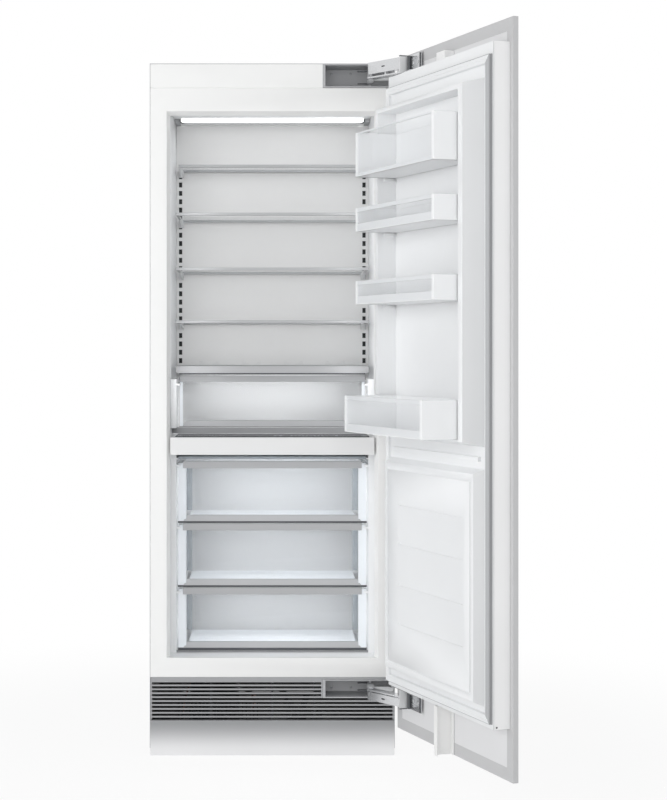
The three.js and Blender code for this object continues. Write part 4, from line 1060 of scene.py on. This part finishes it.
def hinge_shield(name, body, low):
    """The D-shaped plate that widens a link's flat bar, a little apart from its channel."""
    bar_radius, bulge, bulge_to, thick = 11, 66, 33, 2.4
    slope = degrees(atan2(DOOR_PIVOT[1] - LINK_PIVOT[1], DOOR_PIVOT[0] - LINK_PIVOT[0]))
    outline = turn(DOOR_PIVOT, bar_radius, slope - 90, slope + 90)
    outline += turn(LINK_PIVOT, bulge, slope + 9, bulge_to, steps=14)
    outline += turn((313, -22), 8, 90, 150, steps=4)
    outline += turn(LINK_PIVOT, bar_radius, 150, slope + 270, steps=6)
    shield = Form()
    shield.prism("z", outline, low, low + thick)
    shield.done(name, body, "plate_light", slot="hinge_chrome", bevel=0.5)


def hinge_tail(name, body, levels):
    """Stop plates that reach from the arm's pivot into the pocket."""
    pivot_radius, end, end_radius = 8, (271, 31), 7
    outline = turn(ARM_PIVOT, pivot_radius, -90, 90) + turn(end, end_radius, 90, 270)
    tail = Form()
    for low, high in levels:
        tail.prism("z", outline, low, high)
    tail.done(name, body, "hinge_dark", slot="hinge_chrome", bevel=0.4)


def door_bracket(node, low, high, is_top):
    """A base plate on the door's end, a pale face, and a polished wall with its damper and screws."""
    seat_thick, cap_thick = 4, 2.6
    if is_top:
        seat, wall, cap = (low, low + seat_thick), (low + seat_thick, high), (high - cap_thick, high)
    else:
        seat, wall, cap = (high - seat_thick, high), (low, high - seat_thick), (low, low + cap_thick)
    wall_low, wall_high = wall
    chrome, face, dark = range(3)
    formed = Form(on_door)
    formed.paint = chrome
    formed.prism("z", oblong(120.3, 24, 69.7, 18, corner=7), *seat)
    pin, thick, taper, tapered = (65.6, 18.3, 0), 5, 4.2, 0.8
    formed.lathe(pin, "z", [(taper, low), (thick, low + tapered), (thick, high - tapered), (taper, high)])
    wall_u0, wall_u1, wall_v0, wall_v1, damper_v = 110, 190, 6, 9, 11
    formed.box(wall_u0, wall_u1, wall_v0, wall_v1, *wall)
    damper_inset, bar_inset, bar_tall = 8, 16, 3
    formed.box(130, 186, wall_v1, damper_v, wall_low + damper_inset, wall_high - damper_inset)
    for z in (wall_low + bar_inset, wall_high - bar_inset):
        formed.box(128, 188, 10.8, 12.2, z, z + bar_tall)
    for u in (142, 172):
        screw(formed, (u, damper_v, (wall_low + wall_high) / 2), "y", radius=6, rise=2.2)
    formed.paint = face
    face_u0, face_v1 = 107, 42
    outline = [(face_u0, wall_v0), (wall_u0, wall_v0), (wall_u0, face_v1 - 2), (wall_u0 - 1, face_v1)]
    formed.prism("z", [*outline, (face_u0, face_v1)], *wall)
    formed.paint = dark
    formed.box(face_u0 - 1.2, wall_u0 + 1.4, wall_v0 + 0.2, face_v1, *cap)
    piston = [(4, wall_low + 1), (5.4, wall_low + 3), (5.4, wall_high - 4), (4, wall_high - 3)]
    formed.lathe((118.5, 14.5, 0), "z", piston)
    formed.box(wall_u1 - 2.8, wall_u1, wall_v1 - 0.2, wall_v1 + 4, wall_low + 2, wall_high - 2)
    formed.done(
        f"{node}_formed", "door", "hinge_chrome", "bracket_face", "hinge_dark", slot="hinge_dark", bevel=0.4,
        replaces=(node,),
    )


def pocket_details():
    """Collars where the pin meets the hinge pockets, and the screws in their back walls."""
    radius, top_radius = 12, 9
    collars = Form()
    for z, rise in ((2063.4, 3.0), (2128.9, -3.0), (179.4, 3.0), (229.6, -3.0)):
        profile = [(radius, 0), (radius, rise / 2), (top_radius, rise), (TIP, rise)]
        collars.lathe((*ARM_PIVOT, z), "z", profile, sides=28)
    collars.done("pocket_pin_collars", "cabinet", "hinge_chrome", slot="pocket_grey")
    size, rise, back = 4, -1.4, 96.9
    heads = [((x, back, z), "y", size, rise) for z in (2078, 2116, 192, 218) for x in (186, 246, 350)]
    screws("pocket_screws", "cabinet", "pocket_grey", heads)


hinge_shield("hinge_shield_top", "top_link", low=2079.1)
hinge_shield("hinge_shield_bottom", "bottom_link", low=211.5)
hinge_tail("hinge_tail_top", "top_arm", levels=((2074.4, 2077.1), (2112.4, 2115.6)))
hinge_tail("hinge_tail_bottom", "bottom_arm", levels=((215.9, 218.6), (193.4, 196.6)))
door_bracket("door_bracket_top", low=2069.3, high=2127.0, is_top=True)
door_bracket("door_bracket_bottom", low=181.5, high=243.7, is_top=False)
pocket_details()
